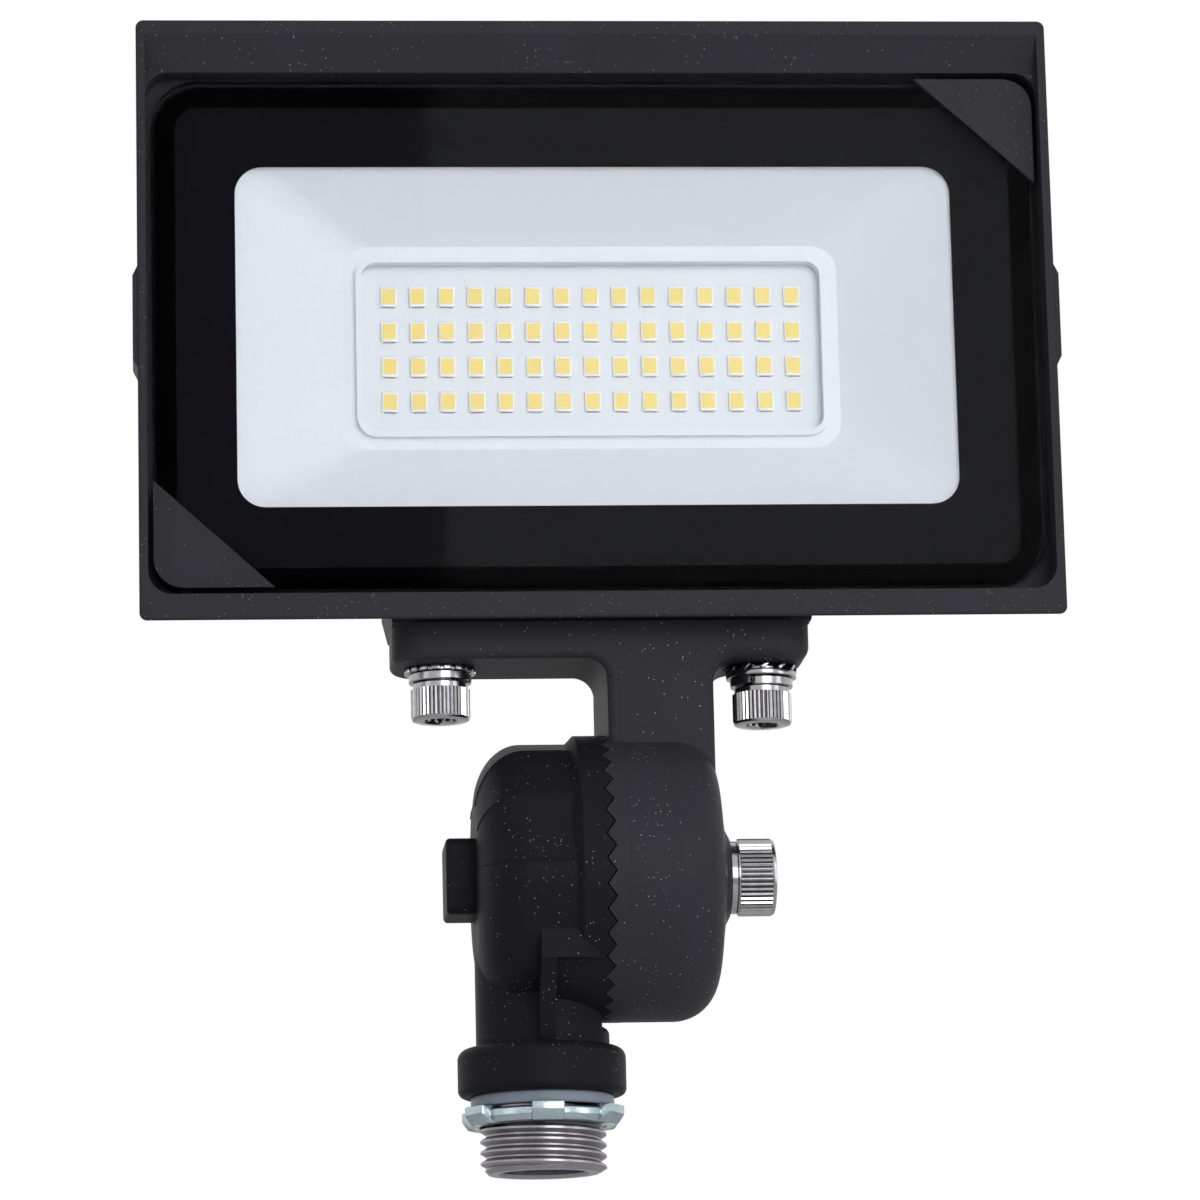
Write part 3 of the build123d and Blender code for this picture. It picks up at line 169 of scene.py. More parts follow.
def grained(name, dark, light, grain_mm, depth, detail, strength, **values):
    """Material whose tone wanders between two colours in a fine grain that also lifts its skin."""
    material, tree, shader, place = finish(name, **values)
    grain = add(
        tree, "ShaderNodeTexNoise", {"Vector": place, "Scale": per_mm(grain_mm), "Detail": detail}
    )
    tone = add(
        tree,
        "ShaderNodeMix",
        {0: grain.outputs["Fac"], 6: colour(dark), 7: colour(light)},
        data_type="RGBA",
    )
    tree.links.new(tone.outputs[2], shader.inputs["Base Color"])
    bump = add(
        tree,
        "ShaderNodeBump",
        {"Height": grain.outputs["Fac"], "Strength": strength, "Distance": depth * MM},
    )
    tree.links.new(bump.outputs["Normal"], shader.inputs["Normal"])
    return material


def steel(name, dark, light, roughness, grain_mm, depth):
    """Bare metal: its fine grain breaks up the reflections, so that it looks machined or plated."""
    return grained(name, dark, light, grain_mm, depth, 4.0, 0.4, Metallic=1.0, Roughness=roughness)


def moulded(name, dark, light, roughness, grain_mm=0.6, depth=0.004, **values):
    """Moulded plastic or rubber: a faint grain and slight changes of tone take the gloss off it."""
    return grained(name, dark, light, grain_mm, depth, 3.0, 0.3, Roughness=roughness, **values)


# Cast parts: grey-black, dull and speckled; the knuckle's left half gets a darker copy of the same coat,
# painted shade where less light reaches it
coat = powder_coat("charcoal_powder_coat", "#2c2c31", "#33333a", 0.06)
shade_painted_coat = powder_coat("dark_charcoal_powder_coat", "#17171b", "#1d1d22", 0.05)
# Bright metal: screws mirror the room in narrow streaks, zinc has a bluish, crystalline glint
bright_steel = steel("bright_stainless_steel", "#8d8c90", "#b9b8bb", 0.2, 1.2, 0.004)
zinc = steel("bright_zinc_plating", "#8fa0a8", "#c3d0d5", 0.24, 0.4, 0.03)
# Duller metal: blurred grey highlights, yellowish on the earth screw
cast_metal = steel("bare_machined_casting", "#7d7a80", "#a9a6ab", 0.34, 0.35, 0.006)
plain_steel = steel("plain_machined_steel", "#8d8c8a", "#adacaa", 0.32, 0.8, 0.002)
earth_steel = steel("yellow_passivated_steel", "#b8964a", "#d5b86a", 0.3, 0.6, 0.002)
# Rubbers and seals: even and without shine
blue_grey_rubber = moulded("blue_grey_rubber", "#6b7681", "#7b8690", 0.5)
silicone = moulded("grey_silicone", "#5d6064", "#6c6f73", 0.6)
black_rubber = moulded("black_rubber", "#17181a", "#202124", 0.65)
# Toughened glass with a coating that takes most reflections away, so that the border stays black
glass = finish(
    "clear_toughened_glass",
    Base_Color=colour("#fdfeff"),
    Roughness=0.02,
    IOR=1.06,
    Transmission_Weight=1.0,
)[0]
border_print = moulded(
    "black_border_print", "#0b0b10", "#101016", 0.6, 0.3, 0.001, Specular_IOR_Level=0.02
)
# White parts behind the glass: evenly bright, with a cool tinge; the phosphor is warm
white_plastic = moulded("white_polycarbonate", "#e6ebf2", "#eef2f7", 0.45, 1.5, 0.003)
solder_mask = moulded("white_solder_mask", "#e3e8ee", "#ebeff4", 0.4, 0.8, 0.004)
led_white = moulded("white_led_package", "#f4f5f6", "#fbfbfb", 0.3, 0.4, 0.001)
phosphor = moulded("yellow_phosphor_gel", "#f6dc76", "#fbe488", 0.35, 0.25, 0.004)
# Small parts on the board and hidden inside
solder = steel("reflowed_solder", "#6f625c", "#a79d97", 0.35, 0.15, 0.01)
pad = moulded("grey_thermal_pad", "#74797f", "#80858b", 0.8)
# Dark steel between the knurls' ridges: painted shade in the grooves
painted_groove_shade = steel("steel_in_knurl_grooves", "#232326", "#3a3a3d", 0.45, 0.4, 0.002)
epoxy = moulded("black_epoxy", "#131416", "#1b1c1f", 0.55)
surge_blue = moulded("blue_dipped_ceramic", "#1c3d6b", "#24487a", 0.3)
nylon_white = moulded("natural_nylon", "#d9d8d0", "#e3e2da", 0.45)
nylon_black = moulded("black_nylon", "#151517", "#1d1d20", 0.5)

node_finish = {
    # The knuckle base wears the darker copy of the coat: painted shade
    "knuckle_base": shade_painted_coat,
    "arm": coat,
    "housing": coat,
    "corner_clamps": coat,
    "pivot_insert": plain_steel,
    "knuckle_seal": silicone,
    "hub_gasket": blue_grey_rubber,
    "locknut": zinc,
    "pivot_washer": bright_steel,
    "pivot_bolt": bright_steel,
    "arm_seal": silicone,
    "arm_screws": bright_steel,
    "arm_spring_washers": bright_steel,
    "flat_toothed_washer": bright_steel,
    "twisted_toothed_washer": bright_steel,
    "front_glass": glass,
    "glass_gasket": silicone,
    "reflector": white_plastic,
    "reflector_screws": plain_steel,
    "led_board": solder_mask,
    "leds": led_white,
    "thermal_pad": pad,
    "driver_chips": epoxy,
    "rectifier": epoxy,
    "surge_disc": surge_blue,
    "fuse": epoxy,
    "lead_connector": nylon_white,
    "board_screws": plain_steel,
    "earth_screw": earth_steel,
    "wire_grommet": black_rubber,
    "breather_plug": nylon_black,
    "breather_seal": black_rubber,
}
for name, material in node_finish.items():
    data = nodes[name].data
    data.materials.clear()
    data.materials.append(material)


def piece(name, mesh, material, body, replaces=(), smooth_below=30.0, even=False):
    """A finished object at the origin that rides on a body; even shading keeps its large faces flat."""
    mesh.shade_smooth()
    mesh.set_sharp_from_angle(angle=radians(smooth_below))
    if even:
        holder = bpy.data.objects.new("raw", mesh)
        scene.collection.objects.link(holder)
        weigh = holder.modifiers.new("even", "WEIGHTED_NORMAL")
        weigh.keep_sharp = True
        mesh = baked(holder)
    mesh.name = name
    mesh.materials.clear()
    mesh.materials.append(material)
    thing = bpy.data.objects.new(name, mesh)
    scene.collection.objects.link(thing)
    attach(thing, body)
    if replaces:
        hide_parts(*replaces)
    return thing


def baked(thing):
    """Mesh of an object with its modifiers applied; the object goes."""
    graph = bpy.context.evaluated_depsgraph_get()
    mesh = bpy.data.meshes.new_from_object(thing.evaluated_get(graph), depsgraph=graph)
    bpy.data.objects.remove(thing)
    return mesh


def softened(mesh, edge_round, sharper_than=24.0, segments=2):
    """The mesh with its sharp edges rounded."""
    thing = bpy.data.objects.new("raw", mesh)
    scene.collection.objects.link(thing)
    bevel = thing.modifiers.new("edge", "BEVEL")
    bevel.width = edge_round * MM
    bevel.segments = segments
    bevel.limit_method = "ANGLE"
    bevel.angle_limit = radians(sharper_than)
    bevel.use_clamp_overlap = True
    return baked(thing)


def whole_faces(node, above=None, shift=None):
    """Copy of a CAD node's mesh, its points merged and flat faces made whole, cut off below a height."""
    shape = bmesh.new()
    shape.from_mesh(nodes[node].data)
    bmesh.ops.remove_doubles(shape, verts=shape.verts, dist=0.0005 * MM)
    if shift:
        for point in shape.verts:
            point.co = shift(point.co)
    if above is not None:
        everything = shape.verts[:] + shape.edges[:] + shape.faces[:]
        bmesh.ops.bisect_plane(
            shape, geom=everything, plane_co=(0.0, 0.0, above), plane_no=(0.0, 0.0, 1.0), clear_inner=True
        )
        rims = [edge for edge in shape.edges if edge.is_boundary]
        bmesh.ops.bridge_loops(shape, edges=rims)
        bmesh.ops.recalc_face_normals(shape, faces=shape.faces)
    bmesh.ops.dissolve_limit(
        shape, angle_limit=radians(0.6), verts=shape.verts, edges=shape.edges, delimit={"NORMAL"}
    )
    return mesh_of(shape, node)


def mesh_of(shape, name):
    """Plain mesh of a finished shape; the shape goes."""
    mesh = bpy.data.meshes.new(name)
    shape.to_mesh(mesh)
    shape.free()
    return mesh


def point_at(shape, reach, angle, level):
    """New point at a reach from Z, an angle about it and a level, in millimetres."""
    return shape.verts.new((reach * cos(angle) * MM, reach * sin(angle) * MM, level * MM))


def turned(outline, steps=96):
    """Mesh of a closed outline of (radius, height) points in millimetres, swept round Z."""
    shape = bmesh.new()
    rings = []
    for i in range(steps):
        rings.append([point_at(shape, r, 2 * pi * i / steps, h) for r, h in outline])
    for i, ring in enumerate(rings):
        after = rings[(i + 1) % steps]
        for j, point in enumerate(ring):
            k = (j + 1) % len(ring)
            shape.faces.new((point, after[j], after[k], ring[k]))
    bmesh.ops.remove_doubles(shape, verts=shape.verts, dist=0.0001 * MM)
    bmesh.ops.dissolve_degenerate(shape, dist=0.0001 * MM, edges=shape.edges)
    bmesh.ops.recalc_face_normals(shape, faces=shape.faces)
    return mesh_of(shape, "turned")


def joined(*meshes):
    """One mesh out of several."""
    shape = bmesh.new()
    for mesh in meshes:
        shape.from_mesh(mesh)
    return mesh_of(shape, "joined")


def placed(mesh, x=0.0, y=0.0, z=0.0, turn=None):
    """Copy of a mesh, turned and then moved, in millimetres."""
    copy = mesh.copy()
    if turn is not None:
        copy.transform(turn.to_4x4())
    copy.transform(Matrix.Translation(Vector((x, y, z)) * MM))
    return copy


def tree_with(name, *sizes):
    """New geometry tree with named number inputs."""
    tree = bpy.data.node_groups.new(name, "GeometryNodeTree")
    for size in sizes:
        whole = size.startswith("Number")
        kind = "NodeSocketInt" if whole else "NodeSocketFloat"
        tree.interface.new_socket(size, in_out="INPUT", socket_type=kind)
    tree.interface.new_socket("Geometry", in_out="OUTPUT", socket_type="NodeSocketGeometry")
    return tree, add(tree, "NodeGroupInput").outputs


def end_tree(tree, geometry, material):
    """Ends a tree with plain geometry in its material."""
    real = add(tree, "GeometryNodeRealizeInstances", {"Geometry": geometry})
    done = add(
        tree, "GeometryNodeSetMaterial", {"Geometry": real.outputs["Geometry"], "Material": material}
    )
    add(tree, "NodeGroupOutput", {"Geometry": done.outputs["Geometry"]})


def grown(tree, **sizes):
    """Plain mesh that a geometry tree makes with these sizes."""
    holder = bpy.data.objects.new("holder", bpy.data.meshes.new("holder"))
    scene.collection.objects.link(holder)
    modifier = holder.modifiers.new("shape", "NODES")
    modifier.node_group = tree
    for item in tree.interface.items_tree:
        if item.in_out == "INPUT":
            modifier[item.identifier] = sizes[item.name.replace(" ", "_")]
    return baked(holder)


def ring_of(tree, number, radius, instance):
    """Copies of an instance on a ring round Z, each with its X outwards."""
    ring = add(tree, "GeometryNodeMeshCircle", {"Vertices": number, "Radius": radius})
    where = add(tree, "GeometryNodeInputPosition")
    facing = add(
        tree, "FunctionNodeAlignRotationToVector", {"Vector": where.outputs[0]}, axis="X", pivot_axis="Z"
    )
    copies = add(
        tree,
        "GeometryNodeInstanceOnPoints",
        {"Points": ring.outputs["Mesh"], "Instance": instance, "Rotation": facing.outputs[0]},
    )
    return copies.outputs["Instances"]


def knurl_tree():
    """Knurled ridges round a screw head."""
    tree, sizes = tree_with("knurl", "Number of ridges", "Radius", "Ridge width", "Ridge length", "Start")
    size = add(
        tree,
        "ShaderNodeCombineXYZ",
        {"X": sizes["Ridge width"], "Y": sizes["Ridge width"], "Z": sizes["Ridge length"]},
    )
    bar = add(tree, "GeometryNodeMeshCube", {"Size": size.outputs[0]})
    square = add(
        tree, "GeometryNodeTransform", {"Geometry": bar.outputs["Mesh"], "Rotation": (0.0, 0.0, pi / 4)}
    )
    ridges = ring_of(tree, sizes["Number of ridges"], sizes["Radius"], square.outputs["Geometry"])
    middle = add(
        tree,
        "ShaderNodeMath",
        {0: sizes["Ridge length"], 1: 0.5, 2: sizes["Start"]},
        operation="MULTIPLY_ADD",
    )
    lift = add(tree, "ShaderNodeCombineXYZ", {"Z": middle.outputs[0]})
    moved = add(tree, "GeometryNodeTransform", {"Geometry": ridges, "Translation": lift.outputs[0]})
    end_tree(tree, moved.outputs["Geometry"], bright_steel)
    return tree


def socket_head(radius, height, collar, corner, key, key_depth):
    """Head of a socket screw with its seat at the origin, pointing up, and a hexagonal hole."""
    steps = 96
    inner = key / 2 / cos(pi / 6)
    shape = bmesh.new()

    def ring(reach, level, six=0.0):
        points = []
        for i in range(steps):
            angle = 2 * pi * i / steps
            side = (angle + pi / 6) % (pi / 3) - pi / 6
            hexagon = key / 2 / cos(side)
            r = reach + (hexagon - reach) * six
            points.append(point_at(shape, r, angle, level))
        return points

    neck = radius - 0.32
    core = radius - 0.42
    rim = radius - 0.04
    rings = [
        ring(radius * 0.55, 0.0),
        ring(neck - 0.15, 0.0),
        ring(neck, 0.15),
        ring(neck, collar),
        ring(core, collar + 0.1),
        ring(core, height - corner - 0.1),
        ring(rim, height - corner),
        ring(rim - corner * 0.1, height - corner * 0.6),
        ring(rim - corner * 0.35, height - corner * 0.2),
        ring(rim - corner, height),
        ring(inner + 0.15, height),
        ring(inner - 0.1, height - 0.25, 0.6),
        ring(0.0, height - 0.4, 1.0),
        ring(0.0, height - key_depth, 1.0),
        ring(0.25, height - key_depth - 0.6),
    ]
    for low, high in zip(rings, rings[1:]):
        for i in range(steps):
            k = (i + 1) % steps
            shape.faces.new((low[i], low[k], high[k], high[i]))
    shape.faces.new(rings[-1])
    shape.faces.new(list(reversed(rings[0])))
    bmesh.ops.recalc_face_normals(shape, faces=shape.faces)
    return mesh_of(shape, "head")


def threaded_shank(radius, length, pitch, start):
    """Threaded part of a screw that hangs below the origin."""
    groove = pitch * 0.55
    outline = [(0.0, 0.0), (radius, 0.0), (radius, -start)]
    level = start
    while level < length - pitch:
        outline.append((radius - groove, -(level + pitch / 2)))
        outline.append((radius, -(level + pitch)))
        level += pitch
    outline += [(radius - groove, -length), (0.0, -length)]
    return turned(outline, 48)


knurl = knurl_tree()
HALF_DIAGONAL = 0.7071


def socket_screw(head, key, key_depth, ridges, ridge, shank, length, pitch, start):
    """Socket screw with its seat at the origin and its head up; head is radius, height, collar, corner."""
    radius, height, collar, corner = head
    ring = grown(
        knurl,
        Number_of_ridges=ridges,
        Radius=(radius - ridge * HALF_DIAGONAL) * MM,
        Ridge_width=ridge * MM,
        Ridge_length=(height - collar - corner - 0.05) * MM,
        Start=(collar + 0.05) * MM,
    )
    return joined(socket_head(*head, key, key_depth), ring, threaded_shank(shank, length, pitch, start))


def groove_shade_band(radius, height, collar, corner):
    """Dark band of painted shade that shows between the ridges of a knurl."""
    outer = radius - 0.27
    inner = radius - 0.6
    low = collar + 0.15
    high = height - corner - 0.15
    return turned([(inner, low), (outer, low), (outer, high), (inner, high)], 96)


def spring_washer(outer, inner, thickness, rise, gap_turn):
    """Split spring washer on the origin: a square coil of one turn with cut ends."""
    steps = 90
    gap = radians(5.0)
    shape = bmesh.new()
    rings = []
    for i in range(steps + 1):
        share = i / steps
        angle = gap_turn + gap + (2 * pi - 2 * gap) * share
        low = rise * share
        corner = 0.12
        outline = (
            (inner, low + corner),
            (inner + corner, low),
            (outer - corner, low),
            (outer, low + corner),
            (outer, low + thickness - corner),
            (outer - corner, low + thickness),
            (inner + corner, low + thickness),
            (inner, low + thickness - corner),
        )
        rings.append([point_at(shape, r, angle, h) for r, h in outline])
    for ring, after in zip(rings, rings[1:]):
        for j in range(len(ring)):
            k = (j + 1) % len(ring)
            shape.faces.new((ring[j], after[j], after[k], ring[k]))
    shape.faces.new(rings[0])
    shape.faces.new(list(reversed(rings[-1])))
    bmesh.ops.recalc_face_normals(shape, faces=shape.faces)
    return mesh_of(shape, "washer")


PIVOT_Z = 36.35
TO_RIGHT = Matrix.Rotation(pi / 2, 3, "Y")
UPSIDE_DOWN = Matrix.Rotation(pi, 3, "X")
BOLT_SEAT_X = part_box("pivot_washer")[1].x / MM

# Heads as radius, height, height of the plain collar, and rounded corner
BOLT_HEAD = (6.5, 6.5, 0.35, 0.7)
SCREW_HEAD = (4.975, 6.3, 0.95, 0.5)
bolt = socket_screw(
    BOLT_HEAD,
    key=6.0,
    key_depth=3.8,
    ridges=46,
    ridge=0.42,
    shank=4.0,
    length=45.0,
    pitch=1.25,
    start=12.0,
)
piece(
    "pivot_bolt_knurled",
    placed(bolt, x=BOLT_SEAT_X, z=PIVOT_Z, turn=TO_RIGHT),
    bright_steel,
    "bolt",
    ["pivot_bolt"],
)
# Painted shade between the bolt's knurl ridges
piece(
    "pivot_bolt_grooves",
    placed(groove_shade_band(*BOLT_HEAD), x=BOLT_SEAT_X, z=PIVOT_Z, turn=TO_RIGHT),
    painted_groove_shade,
    "bolt",
    ["pivot_bolt"],
)
PIVOT_WASHER = 1.1
coil = spring_washer(outer=6.1, inner=4.1, thickness=PIVOT_WASHER, rise=0.0, gap_turn=radians(200))
piece(
    "pivot_spring_washer",
    placed(coil, x=BOLT_SEAT_X - PIVOT_WASHER, z=PIVOT_Z, turn=TO_RIGHT),
    bright_steel,
    "washer",
    ["pivot_washer"],
)

PLATE_UNDER_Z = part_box("flat_toothed_washer")[1].z / MM
SCREW_X = (
    (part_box("flat_toothed_washer")[0].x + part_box("flat_toothed_washer")[1].x) / 2 / MM,
    (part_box("twisted_toothed_washer")[0].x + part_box("twisted_toothed_washer")[1].x) / 2 / MM,
)
WASHER_HEIGHTS = (1.0, 2.2)
GAP_TURNS = (radians(-20), radians(-112))
SPRING_THICKNESS = 1.6
SPRING_RISE = 0.25
screws = []
shade_bands = []
coils = []
for x, toothed, gap_turn in zip(SCREW_X, WASHER_HEIGHTS, GAP_TURNS):
    seat = PLATE_UNDER_Z - toothed - SPRING_THICKNESS
    screw = socket_screw(
        SCREW_HEAD,
        key=5.0,
        key_depth=2.8,
        ridges=42,
        ridge=0.36,
        shank=3.0,
        length=16.0,
        pitch=1.0,
        start=1.0,
    )
    screws.append(placed(screw, x=x, z=seat, turn=UPSIDE_DOWN))
    shade_bands.append(placed(groove_shade_band(*SCREW_HEAD), x=x, z=seat, turn=UPSIDE_DOWN))
    coil = spring_washer(5.3, 3.1, SPRING_THICKNESS - SPRING_RISE, SPRING_RISE, gap_turn)
    coils.append(placed(coil, x=x, z=seat))
piece("arm_screws_knurled", joined(*screws), bright_steel, "head", ["arm_screws"])
# Painted shade between the screws' knurl ridges
piece("arm_screw_grooves", joined(*shade_bands), painted_groove_shade, "head", ["arm_screws"])
piece("arm_spring_coils", joined(*coils), bright_steel, "head", ["arm_spring_washers"])


def washer_teeth_tree():
    """Teeth round a lock washer."""
    tree, sizes = tree_with(
        "washer teeth", "Number of teeth", "Radius", "Tooth length", "Tooth width", "Thickness", "Twist"
    )
    size = add(
        tree,
        "ShaderNodeCombineXYZ",
        {"X": sizes["Tooth length"], "Y": sizes["Tooth width"], "Z": sizes["Thickness"]},
    )
    tooth = add(tree, "GeometryNodeMeshCube", {"Size": size.outputs[0], "Vertices X": 4})
    tilt = add(tree, "ShaderNodeCombineXYZ", {"X": sizes["Twist"]})
    tilted = add(
        tree, "GeometryNodeTransform", {"Geometry": tooth.outputs["Mesh"], "Rotation": tilt.outputs[0]}
    )
    teeth = ring_of(tree, sizes["Number of teeth"], sizes["Radius"], tilted.outputs["Geometry"])
    end_tree(tree, teeth, bright_steel)
    return tree


washer_teeth = washer_teeth_tree()


def lock_washer(teeth, rim, bore, thickness, length, width, twist, middle):
    """Flat ring with teeth that stand out round its rim."""
    ring = turned(
        [
            (bore, middle - thickness / 2),
            (rim, middle - thickness / 2),
            (rim, middle + thickness / 2),
            (bore, middle + thickness / 2),
        ],
        72,
    )
    fringe = grown(
        washer_teeth,
        Number_of_teeth=teeth,
        Radius=(rim + length / 2 - 0.3) * MM,
        Tooth_length=length * MM,
        Tooth_width=width * MM,
        Thickness=thickness * MM,
        Twist=twist,
    )
    return joined(ring, placed(fringe, z=middle))


flat = lock_washer(
    teeth=18, rim=5.35, bore=3.1, thickness=0.9, length=0.95, width=1.3, twist=0.0, middle=-0.5
)
piece(
    "flat_toothed_ring",
    placed(softened(flat, 0.08), x=SCREW_X[0], z=PLATE_UNDER_Z),
    bright_steel,
    "head",
    ["flat_toothed_washer"],
)
plain = softened(turned([(3.1, -2.2), (5.95, -2.2), (5.95, -1.25), (3.1, -1.25)], 72), 0.12)
twisted = lock_washer(
    teeth=12, rim=4.4, bore=3.1, thickness=0.6, length=1.9, width=1.4, twist=radians(38), middle=-0.68
)
piece(
    "twisted_toothed_ring",
    placed(joined(plain, softened(twisted, 0.06)), x=SCREW_X[1], z=PLATE_UNDER_Z),
    bright_steel,
    "head",
    ["twisted_toothed_washer"],
)


def thread_tree():
    """Right-handed thread on the nipple."""
    tree, sizes = tree_with("pipe thread", "Radius", "Depth", "Pitch", "Crest", "Rotations", "Start")
    drop = add(
        tree, "ShaderNodeMath", {0: sizes["Pitch"], 1: sizes["Rotations"]}, operation="MULTIPLY"
    )
    spiral = add(
        tree,
        "GeometryNodeCurveSpiral",
        {
            "Resolution": 96,
            "Rotations": sizes["Rotations"],
            "Start Radius": sizes["Radius"],
            "End Radius": sizes["Radius"],
            "Height": drop.outputs[0],
        },
    )
    upright = add(tree, "GeometryNodeSetCurveNormal", {"Curve": spiral.outputs["Curve"]}, mode="Z_UP")
    half_foot = add(tree, "ShaderNodeMath", {0: sizes["Pitch"], 1: 0.49}, operation="MULTIPLY")
    half_crest = add(tree, "ShaderNodeMath", {0: sizes["Crest"], 1: 0.5}, operation="MULTIPLY")
    points = []
    for foot, sign in ((True, -1), (False, -1), (False, 1), (True, 1)):
        level = half_foot if foot else half_crest
        signed = add(tree, "ShaderNodeMath", {0: level.outputs[0], 1: float(sign)}, operation="MULTIPLY")
        corner = add(tree, "ShaderNodeCombineXYZ", {"Y": signed.outputs[0]})
        if foot:
            out = add(tree, "ShaderNodeMath", {0: sizes["Depth"], 1: 1.15}, operation="MULTIPLY")
            tree.links.new(out.outputs[0], corner.inputs["X"])
        points.append(corner.outputs[0])
    outline = add(
        tree,
        "GeometryNodeCurvePrimitiveQuadrilateral",
        {"Point 1": points[0], "Point 2": points[1], "Point 3": points[2], "Point 4": points[3]},
        mode="POINTS",
    )
    ridge = add(
        tree,
        "GeometryNodeCurveToMesh",
        {"Curve": upright.outputs["Curve"], "Profile Curve": outline.outputs["Curve"], "Fill Caps": True},
    )
    low = add(tree, "ShaderNodeCombineXYZ", {"Z": sizes["Start"]})
    moved = add(
        tree, "GeometryNodeTransform", {"Geometry": ridge.outputs["Mesh"], "Translation": low.outputs[0]}
    )
    end_tree(tree, moved.outputs["Geometry"], cast_metal)
    return tree


# The nipple's bare metal begins just under the coated flange
NIPPLE_TOP = -0.05
helix = grown(
    thread_tree(),
    Radius=10.4775 * MM,
    Depth=1.0 * MM,
    Pitch=1.814 * MM,
    Crest=0.35 * MM,
    Rotations=6.1,
    Start=-11.9 * MM,
)
tube = turned(
    [
        (7.25, NIPPLE_TOP),
        (7.25, -12.3),
        (7.7, -12.8),
        (9.2, -12.8),
        (9.75, -12.2),
        (9.5, -11.7),
        (9.5, NIPPLE_TOP),
    ],
    128,
)


# The solids' teeth are cut to half their height, so that the hinge can turn: x of root and crest
BASE_TEETH = (9.745, 10.52)
ARM_TEETH = (11.395, 10.62)
TEETH_STRETCH = 2.0
TEETH_PLAY = 0.15
TEETH_MARGIN = 0.02
# Radii between which the teeth lie, and where the leg stands on the arm's ring
TEETH_RING = (19.2, 24.2)
LEG_LEFT_X = 10.7
LEG_FOOT_RISE = 21.0


def full_height(point, teeth, side):
    """A point of a toothed ring moved so that its teeth mesh with the other half's."""
    root, crest = (level * MM for level in teeth)
    margin = TEETH_MARGIN * MM
    reach = Vector((point.y, point.z - PIVOT_Z * MM)).length / MM
    low, high = sorted((root - side * margin, crest + side * margin))
    in_ring = TEETH_RING[0] < reach < TEETH_RING[1]
    if not (in_ring and low < point.x < high) or abs(point.x - root) < margin:
        return point
    x = root + (point.x - root) * TEETH_STRETCH - side * TEETH_PLAY * MM
    return Vector((x, point.y, point.z))


def base_shift(point):
    """The base's teeth at their full height."""
    return full_height(point, BASE_TEETH, 1)


def arm_shift(point):
    """The arm's teeth at their full height; the leg above them stays."""
    under_leg = point.z > (PIVOT_Z + LEG_FOOT_RISE) * MM and point.x > LEG_LEFT_X * MM
    return point if under_leg else full_height(point, ARM_TEETH, -1)


base = whole_faces("knuckle_base", above=NIPPLE_TOP * MM, shift=base_shift)
piece("nipple_threaded", joined(tube, helix), cast_metal, "hub", ["knuckle_base"])
for name, mesh, paint, edge, body, node in (
    # The base's darker copy of the coat is painted shade
    ("knuckle_base_coated", base, shade_painted_coat, 0.25, "hub", "knuckle_base"),
    ("arm_coated", whole_faces("arm", shift=arm_shift), coat, 0.3, "head", "arm"),
    ("housing_coated", whole_faces("housing"), coat, 0.3, "head", "housing"),
    ("corner_clamps_coated", whole_faces("corner_clamps"), coat, 0.18, "head", "corner_clamps"),
):
    piece(name, softened(mesh, edge), paint, body, [node], smooth_below=24.0, even=True)


# Fine raised seams along the edges of the base drum's facets
SEAM_ROUND = 0.17
DRUM_R = 22.95
DRUM_END_X = -10.705
SHOULDER_LENGTH = 8.0
SHOULDER_DROP = 11.0
SHOULDER_STEPS = 12
SEAM_END_X = 4.9


def seam(angle):
    """Thin bead from the drum's left end over its shoulder to the collar, at an angle from the front."""
    curve = bpy.data.curves.new("seam", "CURVE")
    curve.dimensions = "3D"
    curve.bevel_depth = SEAM_ROUND * MM
    curve.bevel_resolution = 2
    curve.use_fill_caps = True
    places = []
    for i in range(1, SHOULDER_STEPS + 1):
        share = pi / 2 * i / SHOULDER_STEPS
        x = DRUM_END_X + SHOULDER_LENGTH * (1.0 - cos(share))
        places.append((x, DRUM_R - SHOULDER_DROP + SHOULDER_DROP * sin(share)))
    places.append((SEAM_END_X, DRUM_R))
    line = curve.splines.new("POLY")
    line.points.add(len(places) - 1)
    for point, (x, reach) in zip(line.points, places):
        r = reach - SEAM_ROUND * 0.35
        up = PIVOT_Z + r * sin(radians(angle))
        point.co = (x * MM, -r * cos(radians(angle)) * MM, up * MM, 1.0)
    thing = bpy.data.objects.new("seam", curve)
    scene.collection.objects.link(thing)
    return baked(thing)


seams = joined(*[seam(angle) for angle in (0.0, 30.0, 60.0, 120.0, 150.0, 180.0)])
# The seams on the base take the same painted-shade copy of the coat
piece("knuckle_base_seams", seams, shade_painted_coat, "hub")


# Gasket and locknut
gasket = turned([(10.58, -2.0), (11.9, -2.0), (11.9, 0.0), (10.58, 0.0)])
gasket = softened(gasket, 0.35, segments=3)
piece("hub_gasket_ring", gasket, blue_grey_rubber, "gasket", ["hub_gasket"])


